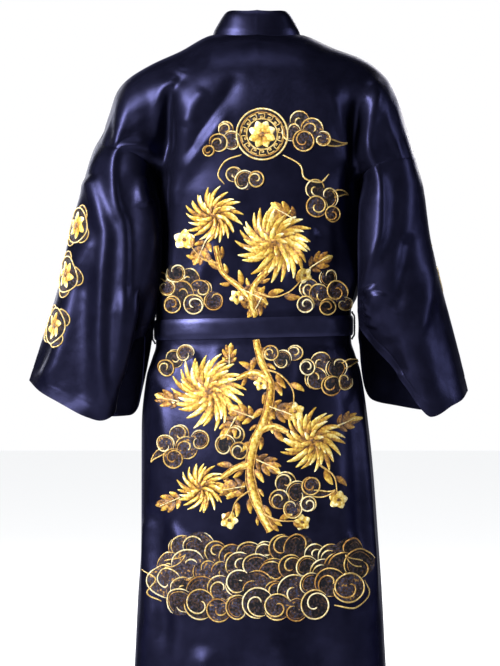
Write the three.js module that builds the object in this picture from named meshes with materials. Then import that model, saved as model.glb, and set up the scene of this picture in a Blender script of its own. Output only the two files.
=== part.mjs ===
// A full-length satin kimono robe, worn closed and belted, with nobody in it: hollow, open at the neck,
// the cuffs and the hem. Millimetres, +Z up. The front faces -Y and the wearer's left is +X. The origin is
// the middle of the neck seam, where the wearer's neck and shoulders carry the robe.
//
// The cut is the plain kimono one: a back, two wrapped fronts, two straight wide sleeves set on a dropped
// shoulder, one neckband along both front edges, a sash in two side loops. Each piece is a cloth wall.
//
// A body panel is a grid of columns (a: -1 right side, 0 centre, +1 left side) and rows (d: how far down
// from the shoulder line). A sleeve is a grid of rings (s: 0 armhole, 1 cuff) and columns round the arm
// (turn: 0 top fold, 90 back, 180 underarm, 270 front, in degrees).
import * as THREE from "three";

// ---- Driving dimensions
const WALL = 2; // cloth wall
const SEAM = 0.42; // how far each piece stops short of a seam line
const LENGTH = 1270; // neck seam to hem
const ARMHOLE = 240; // depth of the armhole, down from the shoulder line
const NECK_HALF = 75; // neck seam, half width
const NECK_DROP = 14; // how far the back neckline dips below the shoulder line
const BAND_WIDTH = 45; // neckband
const BAND_WALL = 3;
const SASH_Z = -491; // middle of the sash
const SASH_WIDTH = 34;
const SASH_WALL = 3;
const SASH_TILT = 0.024; // the sash sits a little higher on the wearer's right
const OVERLAP_LIFT = 6; // the left front lies this far outside the right one
const LIFT_MARGIN = 56; // that lift starts this far outside the edge of the band below
const SIDE_SQUARE = 2.3; // how square the body's sections are (2 is an ellipse)
const TORSO_ARCH = 95; // radius over which the shoulder rounds into the back
const ARM_ARCH = 58; // the same over the upper arm

// ---- Tables. Each is read by smooth interpolation between its rows.
// The shoulder line seen from behind: height at a distance x from the centre, on each side.
const SHOULDER = {
  x: [0, 75, 130, 180, 218, 236, 250, 264],
  left: [14, 4, -24, -47, -71, -92, -131, -168],
  right: [14, 4, -19, -38, -67, -100, -142, -190],
};
// Body sections: half width on each side, depth behind and in front of the side seams.
const BODY = {
  z: [-1270, -1065, -940, -860, -740, -650, -570, -538, -517, -465, -442, -404, -326, -290, -268, -252, -130, 20],
  left: [224, 210, 203, 197, 195, 194, 186, 176, 170, 170, 171, 167, 167, 168, 168, 166, 178, 190],
  right: [228, 214, 208, 203, 195, 186, 174, 164, 158, 158, 168, 175, 178, 177, 175, 172, 180, 190],
  back: [144, 132, 128, 126, 128, 122, 106, 95, 90, 90, 97, 99, 108, 113, 115, 116, 118, 100],
  front: [142, 128, 122, 120, 118, 118, 113, 108, 104, 104, 110, 112, 115, 116, 116, 116, 104, 84],
};
// The armhole ring round the upper arm: distance of its middle from the centre line, and half width.
const ARM = {
  left: { middle: 215, half: 49, depth: 80 },
  right: { middle: 218, half: 46, depth: 80 },
};
// How high the armhole seam lies at a depth d of the panel beside it.
const ARMHOLE_LINE = {
  d: [0, 60, 110, 150, 190, ARMHOLE],
  left: [-168, -184, -190, -196, -213, -252],
  right: [-190, -204, -208, -212, -224, -252],
};
// Where the armhole seam lies, seen from behind.
const ARMHOLE_EDGE = {
  left: { z: [-252, -235, -213, -198, -190, -168], x: [166, 172, 184, 214, 246, 275] },
  right: { z: [-252, -238, -224, -212, -206, -190], x: [172, 176, 186, 214, 248, 275] },
};
// The hollow between body and arm, and the depth over the arm, behind and in front.
const HOLLOW = {
  back: { x: 158, width: 25, depth: 32 },
  front: { x: 160, width: 26, depth: 28 },
};
// Sleeve rings: place of the underarm (in) and the top fold (out), depth behind and in front, and how far
// the ring sags between them.
const SLEEVE = {
  left: {
    s: [0, 0.07, 0.2, 0.42, 0.64, 0.83, 1],
    inX: [166, 173, 171, 168, 168, 173, 186],
    inY: [0, 12, 38, 45, 46, 44, 34],
    inZ: [-252, -264, -290, -345, -410, -462, -505],
    outX: [264, 276, 292, 316, 338, 363, 386],
    outZ: [-168, -190, -241, -335, -430, -510, -581],
    back: [78, 79, 80, 80, 80, 79, 76],
    front: [78, 80, 82, 84, 86, 86, 82],
    sagBack: [14, 14, 16, 22, 40, 66, 98],
    sagFront: [14, 14, 16, 22, 36, 58, 84],
  },
  right: {
    s: [0, 0.07, 0.2, 0.42, 0.64, 0.83, 1],
    inX: [172, 179, 180, 178, 177, 175, 176],
    inY: [0, 12, 38, 45, 46, 44, 34],
    inZ: [-252, -264, -290, -345, -405, -452, -490],
    outX: [264, 269, 280, 293, 315, 337, 357],
    outZ: [-190, -210, -250, -345, -435, -515, -598],
    back: [78, 79, 79, 79, 78, 77, 74],
    front: [78, 80, 82, 84, 86, 86, 82],
    sagBack: [14, 14, 16, 22, 40, 66, 94],
    sagFront: [14, 14, 16, 24, 42, 66, 92],
  },
};
// The cuff's edge, round the arm: it hangs lowest at the back and stands open towards the body.
const CUFF = {
  turn: [0, 37, 60, 90, 105, 120, 139, 159, 180, 201, 221, 240, 270, 300, 330, 360],
  left: {
    x: [386, 365, 336, 285, 262, 243, 231, 214, 190, 196, 206, 222, 268, 322, 365, 386],
    y: [0, 44, 64, 76, 74, 68, 58, 46, 34, -8, -40, -62, -82, -72, -42, 0],
    z: [-581, -598, -614, -640, -646, -636, -535, -512, -505, -580, -628, -642, -645, -628, -604, -581],
  },
  right: {
    x: [357, 344, 325, 290, 268, 246, 224, 196, 174, 178, 186, 200, 243, 300, 340, 357],
    y: [0, 42, 62, 74, 72, 66, 56, 44, 34, -8, -40, -62, -82, -70, -40, 0],
    z: [-598, -612, -622, -640, -620, -588, -556, -522, -490, -545, -592, -615, -626, -634, -622, -598],
  },
};
// The front edge where the neckband is sewn on: distance past the centre line at a depth d.
const FRONT_EDGE = {
  d: [0, 40, 100, 200, 300, 400, 474, 508, 700, 1000, 1270],
  x: [75, 71, 58, 30, 0, -28, -46, -52, -66, -78, -86],
};
// Folds that show from a step away: a curve from (x1, z1) by (x2, z2) to (x3, z3), seen from behind or from
// the front, with its width and its height off the cloth (below 0 for a trough).
const FOLD_COLUMNS = ["x1", "z1", "x2", "z2", "x3", "z3", "width", "height"];
const BACK_FOLDS = folds([
  [126, -60, 150, -110, 152, -225, 13, -6], // hollow inside the left arm
  [156, -215, 162, -300, 162, -420, 12, -6],
  [119, -50, 150, -92, 178, -180, 11, 4], // the ridge beside it
  [30, -62, 70, -140, 135, -245, 18, -6], // pull from the nape to the left underarm
  [38, -108, 84, -190, 146, -305, 20, 5],
  [-170, -90, -162, -190, -158, -420, 14, -5], // hollow inside the right arm
  [-132, -95, -138, -150, -134, -230, 16, 4],
  [-96, -325, -72, -380, -44, -425, 12, 5], // pull to the sash
  [60, -350, 92, -400, 118, -455, 14, 4],
  [186, -800, 178, -900, 168, -1010, 15, 6], // skirt, left side
  [164, -780, 158, -900, 150, -1040, 16, -5],
  [-172, -530, -186, -700, -196, -1000, 13, 5], // skirt, right side
  [-150, -540, -166, -700, -178, -980, 15, -5],
]);
const FRONT_FOLDS = folds([
  [128, -60, 150, -120, 156, -220, 15, -5],
  [-150, -70, -160, -140, -160, -240, 15, -5],
  [110, -110, 88, -230, 78, -440, 20, 5],
  [140, -230, 122, -330, 112, -455, 18, -4],
  [-108, -110, -84, -230, -72, -440, 20, 5],
  [-140, -230, -120, -330, -104, -455, 18, -4],
  [60, -530, 78, -720, 92, -1100, 18, 6],
  [118, -540, 128, -760, 142, -1180, 18, -6],
  [-96, -530, -110, -720, -128, -1150, 18, 6],
]);
const SLEEVE_FOLDS = {
  leftBack: folds([
    [280, -236, 284, -345, 318, -462, 12, 9],
    [316, -455, 334, -520, 366, -590, 15, 9],
    [276, -236, 256, -330, 261, -450, 11, 8],
    [261, -445, 260, -560, 250, -640, 11, 9],
    [252, -190, 250, -270, 238, -400, 14, 6],
    [216, -187, 242, -215, 236, -300, 11, 8],
    [236, -295, 216, -400, 226, -500, 11, 8],
    [225, -495, 236, -560, 240, -640, 10, 9],
    [300, -340, 296, -450, 296, -600, 26, -9],
    [200, -215, 206, -300, 196, -430, 18, -9],
    [244, -500, 247, -560, 246, -600, 9, -8],
  ]),
  leftFront: folds([
    [262, -200, 262, -330, 270, -470, 14, 8],
    [222, -230, 226, -350, 232, -520, 13, 8],
    [300, -330, 318, -430, 340, -560, 15, 7],
    [246, -260, 246, -380, 252, -540, 14, -8],
    [196, -260, 200, -350, 204, -440, 15, -7],
  ]),
  rightBack: folds([
    [184, -60, 210, -105, 192, -190, 11, 8],
    [188, -195, 216, -260, 208, -320, 11, 8],
    [208, -315, 202, -370, 172, -405, 10, 8],
    [262, -235, 240, -320, 222, -420, 10, -8],
    [240, -120, 250, -230, 222, -420, 18, 5],
    [286, -330, 284, -430, 252, -525, 13, 6],
    [184, -425, 196, -445, 180, -470, 9, 6],
    [300, -420, 312, -500, 322, -600, 22, -7],
    [230, -470, 240, -530, 262, -610, 18, -6],
  ]),
  rightFront: folds([
    [256, -210, 256, -330, 264, -470, 14, 8],
    [220, -230, 222, -350, 226, -520, 13, 8],
    [292, -330, 304, -430, 320, -560, 15, 7],
    [240, -260, 238, -380, 244, -540, 14, -8],
    [192, -260, 194, -340, 196, -430, 15, -7],
  ]),
};
// Flutes of the skirt: waves round the hem that die out at the hips.
const FLUTES = { from: -620, deep: 9, waves: [3, 5, 8], shares: [0.35, 0.4, 0.25], starts: [0.6, 2.1, 4.0] };

// ---- Small tools
const smooth = (t) => {
  const c = Math.min(1, Math.max(0, t));
  return c * c * (3 - 2 * c);
};
const mix = (a, b, t) => a + (b - a) * t;
const radians = THREE.MathUtils.degToRad;

function folds(rows) {
  return rows.map((row) => Object.fromEntries(FOLD_COLUMNS.map((name, i) => [name, row[i]])));
}

// A smooth curve through the rows of a table that never runs past them: the value at `at`, where `keys` is
// the rising or falling list it is read by.
function read(keys, values, at) {
  const last = keys.length - 1;
  if (at <= keys[0]) return values[0];
  if (at >= keys[last]) return values[last];
  let i = 0;
  while (at > keys[i + 1]) i++;
  const rate = (j) => (values[j + 1] - values[j]) / (keys[j + 1] - keys[j]);
  const slope = (j) => {
    if (j === 0 || j === last) return rate(Math.min(j, last - 1));
    const before = rate(j - 1);
    const after = rate(j);
    return before * after <= 0 ? 0 : (2 * before * after) / (before + after);
  };
  const step = keys[i + 1] - keys[i];
  const t = (at - keys[i]) / step;
  const start = values[i] * (2 * t ** 3 - 3 * t ** 2 + 1) + slope(i) * step * (t ** 3 - 2 * t ** 2 + t);
  const end = values[i + 1] * (3 * t ** 2 - 2 * t ** 3) + slope(i + 1) * step * (t ** 3 - t ** 2);
  return start + end;
}

const sideOf = (x) => (x < 0 ? "right" : "left");
const shoulderZ = (side, x) => read(SHOULDER.x, SHOULDER[side], x);
const body = (column, z) => read(BODY.z, BODY[column], z);

// ---- The body: one surface for back (face 1) and front (face -1)
// Distance from the centre line of the row's end: on the armhole ring, or on the side seam below it.
const turnOf = (d) => 180 * (Math.min(d, ARMHOLE) / ARMHOLE) ** 1.5; // how far round the armhole a row ends

function rowEnd(side, d, z) {
  if (d > ARMHOLE) return body(side, z);
  const arm = ARM[side];
  return arm.middle + arm.half * Math.cos(radians(turnOf(d)));
}

// A row keeps the shoulder's slope at the top and levels out further down.
function levelledZ(side, x, d) {
  return shoulderZ(side, x) * (1 - smooth(d / 400)) - d;
}

function rowZ(side, x, d, face) {
  const end = rowEnd(side, Math.min(d, ARMHOLE), -ARMHOLE);
  const lineZ = read(ARMHOLE_LINE.d, ARMHOLE_LINE[side], d);
  const toLine = (lineZ - levelledZ(side, end, Math.min(d, ARMHOLE))) * (1 - smooth((d - ARMHOLE) / 60));
  const dip = face > 0 && x < NECK_HALF ? NECK_DROP * (1 - (x / NECK_HALF) ** 2) * Math.max(0, 1 - d / 100) : 0;
  return levelledZ(side, x, d) + toLine * Math.min(1, x / end) ** 5 - dip;
}

// Depth of the cloth over shoulder, back and upper arm, above the underarm.
function yokeDepth(side, x, z, face) {
  const hollow = face > 0 ? HOLLOW.back : HOLLOW.front;
  const torso = body(face > 0 ? "back" : "front", z) * (1 - 0.1 * Math.min(1, x / 150) ** 2);
  const out = smooth((x - 110) / (ARM[side].middle - 110));
  const dip = hollow.depth * smooth((-z - 70) / 120) * Math.exp(-(((x - hollow.x) / hollow.width) ** 2));
  const rise = (shoulderZ(side, x + 2) - shoulderZ(side, x - 2)) / 4;
  const inside = Math.max(0, shoulderZ(side, x) - z) / Math.hypot(1, rise);
  const arch = Math.min(1, inside / mix(TORSO_ARCH, ARM_ARCH, out));
  return (mix(torso, ARM[side].depth, out) - dip) * Math.sqrt(1 - (1 - arch) ** 2);
}

// How far the armhole ring stands out past the yoke at a row's end: a difference of squared depths.
function ringOverYoke(side, d, face) {
  const end = rowEnd(side, d, -d);
  const there = yokeDepth(side, end, rowZ(side, end, d, face), face) * (1 - smooth((d / ARMHOLE - 0.6) / 0.4));
  const turn = turnOf(d);
  const ring = ARM[side].depth * Math.sin(radians(turn)) ** (0.7 + 0.8 * smooth((turn - 110) / 50));
  return ring ** 2 - there ** 2;
}

// The point of column a and row d. A level below the yoke is read along the sash's tilt.
function bodyPoint(a, d, face) {
  const side = sideOf(a);
  const sign = side === "left" ? 1 : -1;
  const share = Math.min(1, Math.abs(a));
  const round = Math.sin((Math.PI / 2) * share);
  const low = smooth((d - ARMHOLE * 0.35) / (ARMHOLE * 0.65));
  let x = rowEnd(side, d, -d) * mix(share, round, low);
  const z = rowZ(side, x, d, face);
  const level = z + SASH_TILT * sign * x * smooth((d - 300) / 150);
  if (d >= ARMHOLE) x = body(side, level) * round;
  const ring = body(face > 0 ? "back" : "front", level) * (1 - round ** SIDE_SQUARE) ** (1 / SIDE_SQUARE);
  const yoke = d < ARMHOLE ? yokeDepth(side, x, z, face) : 0;
  let y = mix(yoke, ring, smooth((d - ARMHOLE * 0.6) / (ARMHOLE * 0.4)));
  if (d < ARMHOLE) y = Math.sqrt(Math.max(0, y ** 2 + ringOverYoke(side, d, face) * share ** 7));
  return new THREE.Vector3(sign * x, face * y, z);
}

// The column that passes a distance x from the centre line on row d.
function columnAt(x, d) {
  let low = -1;
  let high = 1;
  for (let i = 0; i < 24; i++) {
    const middle = (low + high) / 2;
    if (bodyPoint(middle, d, -1).x < x) low = middle;
    else high = middle;
  }
  return (low + high) / 2;
}

// ---- Folds
function foldHeight(list, x, z) {
  let height = 0;
  for (const f of list) {
    const reach = 3 * f.width;
    if (x < Math.min(f.x1, f.x2, f.x3) - reach || x > Math.max(f.x1, f.x2, f.x3) + reach) continue;
    if (z < Math.min(f.z1, f.z2, f.z3) - reach || z > Math.max(f.z1, f.z2, f.z3) + reach) continue;
    let nearest = Infinity;
    let along = 0;
    for (let i = 0; i <= 24; i++) {
      const t = i / 24;
      const cx = f.x1 * (1 - t) ** 2 + 2 * f.x2 * t * (1 - t) + f.x3 * t * t;
      const cz = f.z1 * (1 - t) ** 2 + 2 * f.z2 * t * (1 - t) + f.z3 * t * t;
      const distance = Math.hypot(x - cx, z - cz);
      if (distance < nearest) [nearest, along] = [distance, t];
    }
    height += f.height * Math.exp(-((nearest / f.width) ** 2)) * smooth(along / 0.18) * smooth((1 - along) / 0.18);
  }
  return height;
}

function flute(p) {
  const angle = Math.atan2(p.x, p.y);
  const share = smooth((FLUTES.from - p.z) / 500);
  const wave = FLUTES.waves.reduce((sum, n, i) => sum + FLUTES.shares[i] * Math.sin(n * angle + FLUTES.starts[i]), 0);
  return FLUTES.deep * share * wave;
}

// Folds die out at the side seams, at the armhole and under the sash. Flutes run on over the side seams.
const bodyFold = (face) => (p) => {
  const off = Math.min(1, Math.abs(p.z - (SASH_Z - SASH_TILT * p.x)) / 45) ** 2;
  const side = sideOf(p.x);
  const edge = ARMHOLE_EDGE[side];
  const end = p.z > edge.z[0] ? read(edge.z, edge.x, p.z) : body(side, p.z);
  const seam = smooth((end - 2 - Math.abs(p.x)) / 12);
  return (foldHeight(face > 0 ? BACK_FOLDS : FRONT_FOLDS, p.x, p.z) * seam + flute(p)) * off;
};

// ---- Grids of points, and the walls made from them
class Grid {
  // rows of points; `closed` where the columns run round a tube; `fixed` holds normals shared along a seam
  constructor(rows, { closed = false, fixed = [] } = {}) {
    Object.assign(this, { rows, closed, fixed });
  }

  normals() {
    const { rows, closed, fixed } = this;
    const nv = rows.length;
    const nu = rows[0].length;
    const wrap = (i) => (closed ? (i + nu) % nu : Math.min(nu - 1, Math.max(0, i)));
    const normals = rows.map((row, j) =>
      row.map((_, i) => {
        const along = new THREE.Vector3().subVectors(row[wrap(i + 1)], row[wrap(i - 1)]);
        const down = new THREE.Vector3().subVectors(rows[Math.min(nv - 1, j + 1)][i], rows[Math.max(0, j - 1)][i]);
        return along.cross(down).normalize();
      }),
    );
    for (const [j, i, normal] of fixed) normals[j][i] = normal(normals[j][i]);
    return normals;
  }

  with(rows) {
    return new Grid(rows, this);
  }

  // Moves every point along its normal.
  moved(amount) {
    const normals = this.normals();
    return this.with(
      this.rows.map((row, j) => row.map((p, i) => p.clone().addScaledVector(normals[j][i], amount(p, i, j)))),
    );
  }

  // Pulls the named edges back from their seam lines, square to the seam; `more` adds to that along the top.
  trimmed(edges, more = () => 0) {
    const { rows, closed } = this;
    const moved = rows.map((row) => row.map((p) => p.clone()));
    const nu = rows[0].length;
    const nv = rows.length;
    const pull = (j, i, inwards, before, after, by) => {
      const along = new THREE.Vector3().subVectors(after, before).normalize();
      const into = new THREE.Vector3().subVectors(inwards, rows[j][i]);
      into.addScaledVector(along, -into.dot(along)).normalize();
      moved[j][i].addScaledVector(into, by);
    };
    const clamp = (v, most) => Math.min(most, Math.max(0, v));
    const column = (i) => (closed ? (i + nu) % nu : clamp(i, nu - 1));
    if (edges.includes("top"))
      rows[0].forEach((_, i) => pull(0, i, rows[1][i], rows[0][column(i - 1)], rows[0][column(i + 1)], SEAM + more(i)));
    for (const [name, i, step] of [["first", 0, 1], ["last", nu - 1, -1]])
      if (edges.includes(name))
        for (let j = 0; j < nv; j++)
          pull(j, i, rows[j][i + step], rows[clamp(j - 1, nv - 1)][i], rows[clamp(j + 1, nv - 1)][i], SEAM);
    return this.with(moved);
  }

  // A closed wall between two distances off the grid, along its normals.
  wall(from, to) {
    const { rows, closed } = this;
    const normals = this.normals();
    const nv = rows.length;
    const nu = rows[0].length;
    const positions = [];
    for (const distance of [from, to])
      rows.forEach((row, j) =>
        row.forEach((p, i) => positions.push(...p.clone().addScaledVector(normals[j][i], distance).toArray())),
      );
    const inner = (j, i) => j * nu + (closed ? i % nu : i);
    const outer = (j, i) => nv * nu + inner(j, i);
    const index = [];
    const quad = (a, b, c, d) => index.push(a, b, c, a, c, d);
    const lastColumn = closed ? nu : nu - 1;
    for (let j = 0; j < nv - 1; j++)
      for (let i = 0; i < lastColumn; i++) {
        quad(outer(j, i), outer(j, i + 1), outer(j + 1, i + 1), outer(j + 1, i));
        quad(inner(j, i), inner(j + 1, i), inner(j + 1, i + 1), inner(j, i + 1));
      }
    for (let i = 0; i < lastColumn; i++) {
      quad(inner(0, i), inner(0, i + 1), outer(0, i + 1), outer(0, i));
      quad(outer(nv - 1, i), outer(nv - 1, i + 1), inner(nv - 1, i + 1), inner(nv - 1, i));
    }
    if (!closed)
      for (let j = 0; j < nv - 1; j++) {
        quad(outer(j, 0), outer(j + 1, 0), inner(j + 1, 0), inner(j, 0));
        quad(inner(j, nu - 1), inner(j + 1, nu - 1), outer(j + 1, nu - 1), outer(j, nu - 1));
      }
    const geometry = new THREE.BufferGeometry();
    geometry.setAttribute("position", new THREE.Float32BufferAttribute(positions, 3));
    geometry.setIndex(index);
    return geometry;
  }
}

// ---- Where the grids are sampled: closest where the cloth bends most
const YOKE_ROWS = [0, 14, 28, 42, 57, 72, 88, 104, 120, 136, 152, 168, 184, 202, 221, ARMHOLE];
const ROWS = [
  ...YOKE_ROWS, 260, 290, 330, 380, 422, 446, 466, 491, 516, 538, 574, 630, 700, 780, 860, 940, 1020, 1100, 1180,
  LENGTH,
];
const NECK_COLUMN = NECK_HALF / 264;
const HALF_COLUMNS = [0, 0.1, 0.2, NECK_COLUMN, 0.38, 0.47, 0.55, 0.62, 0.68, 0.74, 0.8, 0.86, 0.91, 0.96, 1];
const SLEEVE_RINGS = 17;

// ---- The front edges
const frontEdge = (d) => read(FRONT_EDGE.d, FRONT_EDGE.x, d);
const overlapLift = (x, d) =>
  OVERLAP_LIFT * smooth((BAND_WIDTH + LIFT_MARGIN - frontEdge(d) - x) / 60) * smooth((d - 60) / 90);

// A point of the left (sign 1) or right (sign -1) front, a distance x past the centre line.
function frontPoint(sign, x, d) {
  const p = bodyPoint(columnAt(sign * x, d), d, -1);
  return sign > 0 ? p.add(new THREE.Vector3(0, -overlapLift(p.x, d), 0)) : p;
}

// ---- Seams shared by two pieces
function armholePoint(side, turn) {
  const back = turn <= 180;
  const share = (back ? turn : 360 - turn) / 180;
  return bodyPoint(side === "left" ? 1 : -1, ARMHOLE * share ** (1 / 1.5), back ? 1 : -1);
}

// Outward direction on the armhole seam: square to the seam and to the line from body to sleeve.
function armholeNormal(side, turn) {
  const sign = side === "left" ? 1 : -1;
  const seam = armholePoint(side, turn);
  const round = armholePoint(side, (turn + 2) % 360).sub(armholePoint(side, (turn + 358) % 360)).normalize();
  const back = turn <= 180;
  const share = (back ? turn : 360 - turn) / 180;
  const under = 14 * smooth((share - 0.65) / 0.35); // below the underarm the panel hangs down from the seam
  const from = bodyPoint(sign * 0.94, ARMHOLE * share ** (1 / 1.5) + under, back ? 1 : -1);
  const square = (v) => v.addScaledVector(round, -v.dot(round)).normalize();
  const into = square(seam.clone().sub(from));
  const onto = square(sleevePoint(side, turn, 0.06).sub(seam));
  return into.add(onto).cross(round).multiplyScalar(sign).normalize();
}

const level = (normal) => normal.setY(0).normalize(); // on a shoulder or side seam, which lie in one plane

const bandLean = (x) => {
  const lean = Math.abs(x) / NECK_HALF;
  return new THREE.Vector3(-0.58 * Math.sign(x) * lean ** 2, -0.28 * (1 - lean ** 2), 1).normalize();
};

// Outward direction on the neck seam behind, and on the two ends of the shoulder seams.
function neckNormal(a) {
  const root = bodyPoint(a, 0, 1);
  const end = Math.abs(a) > NECK_COLUMN - 1e-6;
  const from = end ? bodyPoint(a * 1.1, 0, 1) : bodyPoint(a, 8, 1);
  const into = new THREE.Vector3().subVectors(root, from).normalize();
  const round = end
    ? new THREE.Vector3(0, -Math.sign(a), 0)
    : bodyPoint(a + 0.02, 0, 1).sub(bodyPoint(a - 0.02, 0, 1));
  return into.add(bandLean(root.x)).cross(round).normalize();
}

// The neckband's row at a depth d of the front: standing at the neck, lying flat further down.
const BAND_ACROSS = [0, 0.5, 1];

function bandRow(sign, d) {
  const edge = frontEdge(d);
  const root = frontPoint(sign, edge, d);
  const up = new THREE.Vector3(-sign * 0.58, -0.25, 0.78).multiplyScalar(BAND_WIDTH);
  const stand = 1 - smooth(d / 110);
  return BAND_ACROSS.map((w) =>
    frontPoint(sign, edge - BAND_WIDTH * w, d).lerp(root.clone().addScaledVector(up, w), stand),
  );
}

// Outward direction where the neckband is sewn to a front edge.
function edgeNormal(sign, d) {
  const edge = frontEdge(d);
  const root = frontPoint(sign, edge, d);
  const into = root.clone().sub(frontPoint(sign, edge + 12, d)).normalize();
  const onto = bandRow(sign, d)[1].sub(root).normalize();
  const deeper = Math.min(LENGTH, d + 6);
  const down = frontPoint(sign, frontEdge(deeper), deeper).sub(frontPoint(sign, frontEdge(d - 6), d - 6));
  return into.add(onto).cross(down).multiplyScalar(sign).normalize();
}

// The shared normals of a body panel's column at the armhole and side seam.
function seamColumn(side, column, face) {
  return ROWS.map((d, j) => [
    j,
    column,
    d <= ARMHOLE ? () => armholeNormal(side, face > 0 ? turnOf(d) : (360 - turnOf(d)) % 360) : level,
  ]);
}

// ---- The pieces
function backPanel() {
  const columns = [...HALF_COLUMNS.slice(1).reverse().map((a) => -a), ...HALF_COLUMNS];
  const last = columns.length - 1;
  const shoulder = columns.map((a, i) => [0, i, Math.abs(a) > NECK_COLUMN + 1e-6 ? level : () => neckNormal(a)]);
  const fixed = [...shoulder, ...seamColumn("right", 0, 1), ...seamColumn("left", last, 1)];
  const grid = new Grid(ROWS.map((d) => columns.map((a) => bodyPoint(a, d, 1))), { fixed });
  return grid.moved(bodyFold(1)).trimmed(["top", "first", "last"]).wall(0, WALL);
}

function frontPanel(side) {
  const sign = side === "left" ? 1 : -1;
  const steps = 13;
  const rows = ROWS.map((d) => {
    const first = columnAt(sign * frontEdge(d), d);
    const row = Array.from({ length: steps + 1 }, (_, i) => {
      const p = bodyPoint(mix(first, sign, (i / steps) ** 0.85), d, -1);
      if (sign > 0) p.y -= overlapLift(p.x, d);
      return p;
    });
    return sign > 0 ? row.reverse() : row;
  });
  const inner = sign > 0 ? steps : 0;
  const shoulder = rows[0].map((_, i) => [0, i, i === inner ? () => neckNormal(sign * NECK_COLUMN) : level]);
  const edge = ROWS.slice(1).map((d, j) => [j + 1, inner, () => edgeNormal(sign, d)]);
  const fixed = [...shoulder, ...edge, ...seamColumn(side, sign > 0 ? 0 : steps, -1)];
  return new Grid(rows, { fixed }).moved(bodyFold(-1)).trimmed(["top", "first", "last"]).wall(0, WALL);
}

function sleevePoint(side, turn, s) {
  const t = SLEEVE[side];
  const at = (column, where) => read(t.s, t[column], where);
  const c = Math.cos(radians(turn));
  const n = Math.sin(radians(turn));
  const loop = (where) => {
    const share = ((1 + c) / 2) ** (n >= 0 ? 1 : 0.8);
    const sag = n >= 0 ? at("sagBack", where) * n ** 3 : at("sagFront", where) * (-n) ** 0.8 * (1 - 0.5 * c);
    const depth = n >= 0 ? at("back", where) : at("front", where);
    return new THREE.Vector3(
      mix(at("inX", where), at("outX", where), share) * (side === "left" ? 1 : -1),
      depth * Math.sign(n) * Math.abs(n) ** 0.9 + at("inY", where) * ((1 - c) / 2) ** 2,
      mix(at("inZ", where), at("outZ", where), share) - sag,
    );
  };
  const cuff = CUFF[side];
  const hem = new THREE.Vector3(...["x", "y", "z"].map((axis) => read(CUFF.turn, cuff[axis], turn)));
  if (side === "right") hem.x = -hem.x;
  const p = loop(s).addScaledVector(armholePoint(side, turn).sub(loop(0)), 1 - smooth(s / 0.3));
  return p.addScaledVector(hem.sub(loop(1)), smooth((s - 0.45) / 0.55));
}

function sleeve(side) {
  const turns = [...YOKE_ROWS.map(turnOf), ...YOKE_ROWS.slice(1, -1).reverse().map((d) => 360 - turnOf(d))];
  if (side === "left") turns.reverse();
  const rows = Array.from({ length: SLEEVE_RINGS }, (_, j) =>
    turns.map((turn) => sleevePoint(side, turn, (j / (SLEEVE_RINGS - 1)) ** 0.95)),
  );
  const height = (p, i, j) => {
    const list = SLEEVE_FOLDS[side + (p.y > 0 ? "Back" : "Front")];
    return foldHeight(list, Math.abs(p.x), p.z) * smooth(Math.abs(p.y) / 30) * smooth(j / 3);
  };
  const fixed = turns.map((turn, i) => [0, i, () => armholeNormal(side, turn)]);
  const ease = (i) => 0.5 * smooth((60 - Math.abs(turns[i] - 180)) / 30); // a little more room at the underarm
  return new Grid(rows, { closed: true, fixed }).moved(height).trimmed(["top"], ease).wall(0, WALL);
}

// The neckband: sewn along the front edges and the neckline, lying on the chest and standing at the nape.
function neckband() {
  const down = ROWS.slice(1);
  const nape = [...HALF_COLUMNS.filter((a) => a <= NECK_COLUMN)];
  const columns = [...nape.slice(1).reverse().map((a) => -a), ...nape];
  const rows = [...down].reverse().map((d) => bandRow(-1, d));
  for (const a of columns) {
    const root = bodyPoint(a, 0, 1);
    rows.push(BAND_ACROSS.map((w) => root.clone().addScaledVector(bandLean(root.x), BAND_WIDTH * w)));
  }
  down.forEach((d) => rows.push(bandRow(1, d)));
  const seam = [
    ...[...down].reverse().map((d) => () => edgeNormal(-1, d)),
    ...columns.map((a) => () => neckNormal(a)),
    ...down.map((d) => () => edgeNormal(1, d)),
  ];
  const fixed = seam.map((normal, j) => [j, 0, normal]);
  const onFront = bodyFold(-1);
  const grid = new Grid(rows, { fixed }).moved((p) => (p.y < 0 ? onFront(p) : 0));
  return grid.trimmed(["first"]).wall(0, BAND_WALL);
}

// The sash: a loop round the waist, over all the layers in front.
function overStack(p) {
  return p.y > 0 ? 0 : (overlapLift(p.x, -SASH_Z) + smooth((130 - p.x) / 40)) * smooth((p.x + 150) / 50);
}

function sash() {
  const steps = 56;
  const rows = [1, -1].map((edge) =>
    Array.from({ length: steps }, (_, i) => {
      const turn = (4 * i) / steps; // 0 centre back, 1 left side, 2 centre front, 3 right side
      const a = turn <= 1 ? turn : turn <= 3 ? 2 - turn : turn - 4;
      const p = bodyPoint(a, -SASH_Z, turn <= 1 || turn > 3 ? 1 : -1);
      p.z = SASH_Z - SASH_TILT * p.x + (edge * SASH_WIDTH) / 2;
      return p;
    }),
  );
  return new Grid(rows, { closed: true }).moved((p) => WALL + 0.7 + overStack(p)).wall(0, SASH_WALL);
}

// A loop of cord at each side seam that the sash runs through: how far it stands off the side, by height.
const LOOP_PATH = {
  height: [24, 20.5, 17.8, 10, 0, -10, -17.8, -20.5, -24],
  off: [3.4, 4.2, 6.4, 6.8, 7, 6.8, 6.4, 4.2, 3.4],
};

function sashLoop(side) {
  const sign = side === "left" ? 1 : -1;
  const rows = LOOP_PATH.height.map((height, j) => {
    const z = SASH_Z - SASH_TILT * sign * 165 + height;
    const seam = bodyPoint(sign, -z, 1);
    return [1, -1].map((w) => new THREE.Vector3(seam.x + sign * LOOP_PATH.off[j], sign * w * 2.5, z));
  });
  return new Grid(rows).wall(0, 1.2);
}

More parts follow.
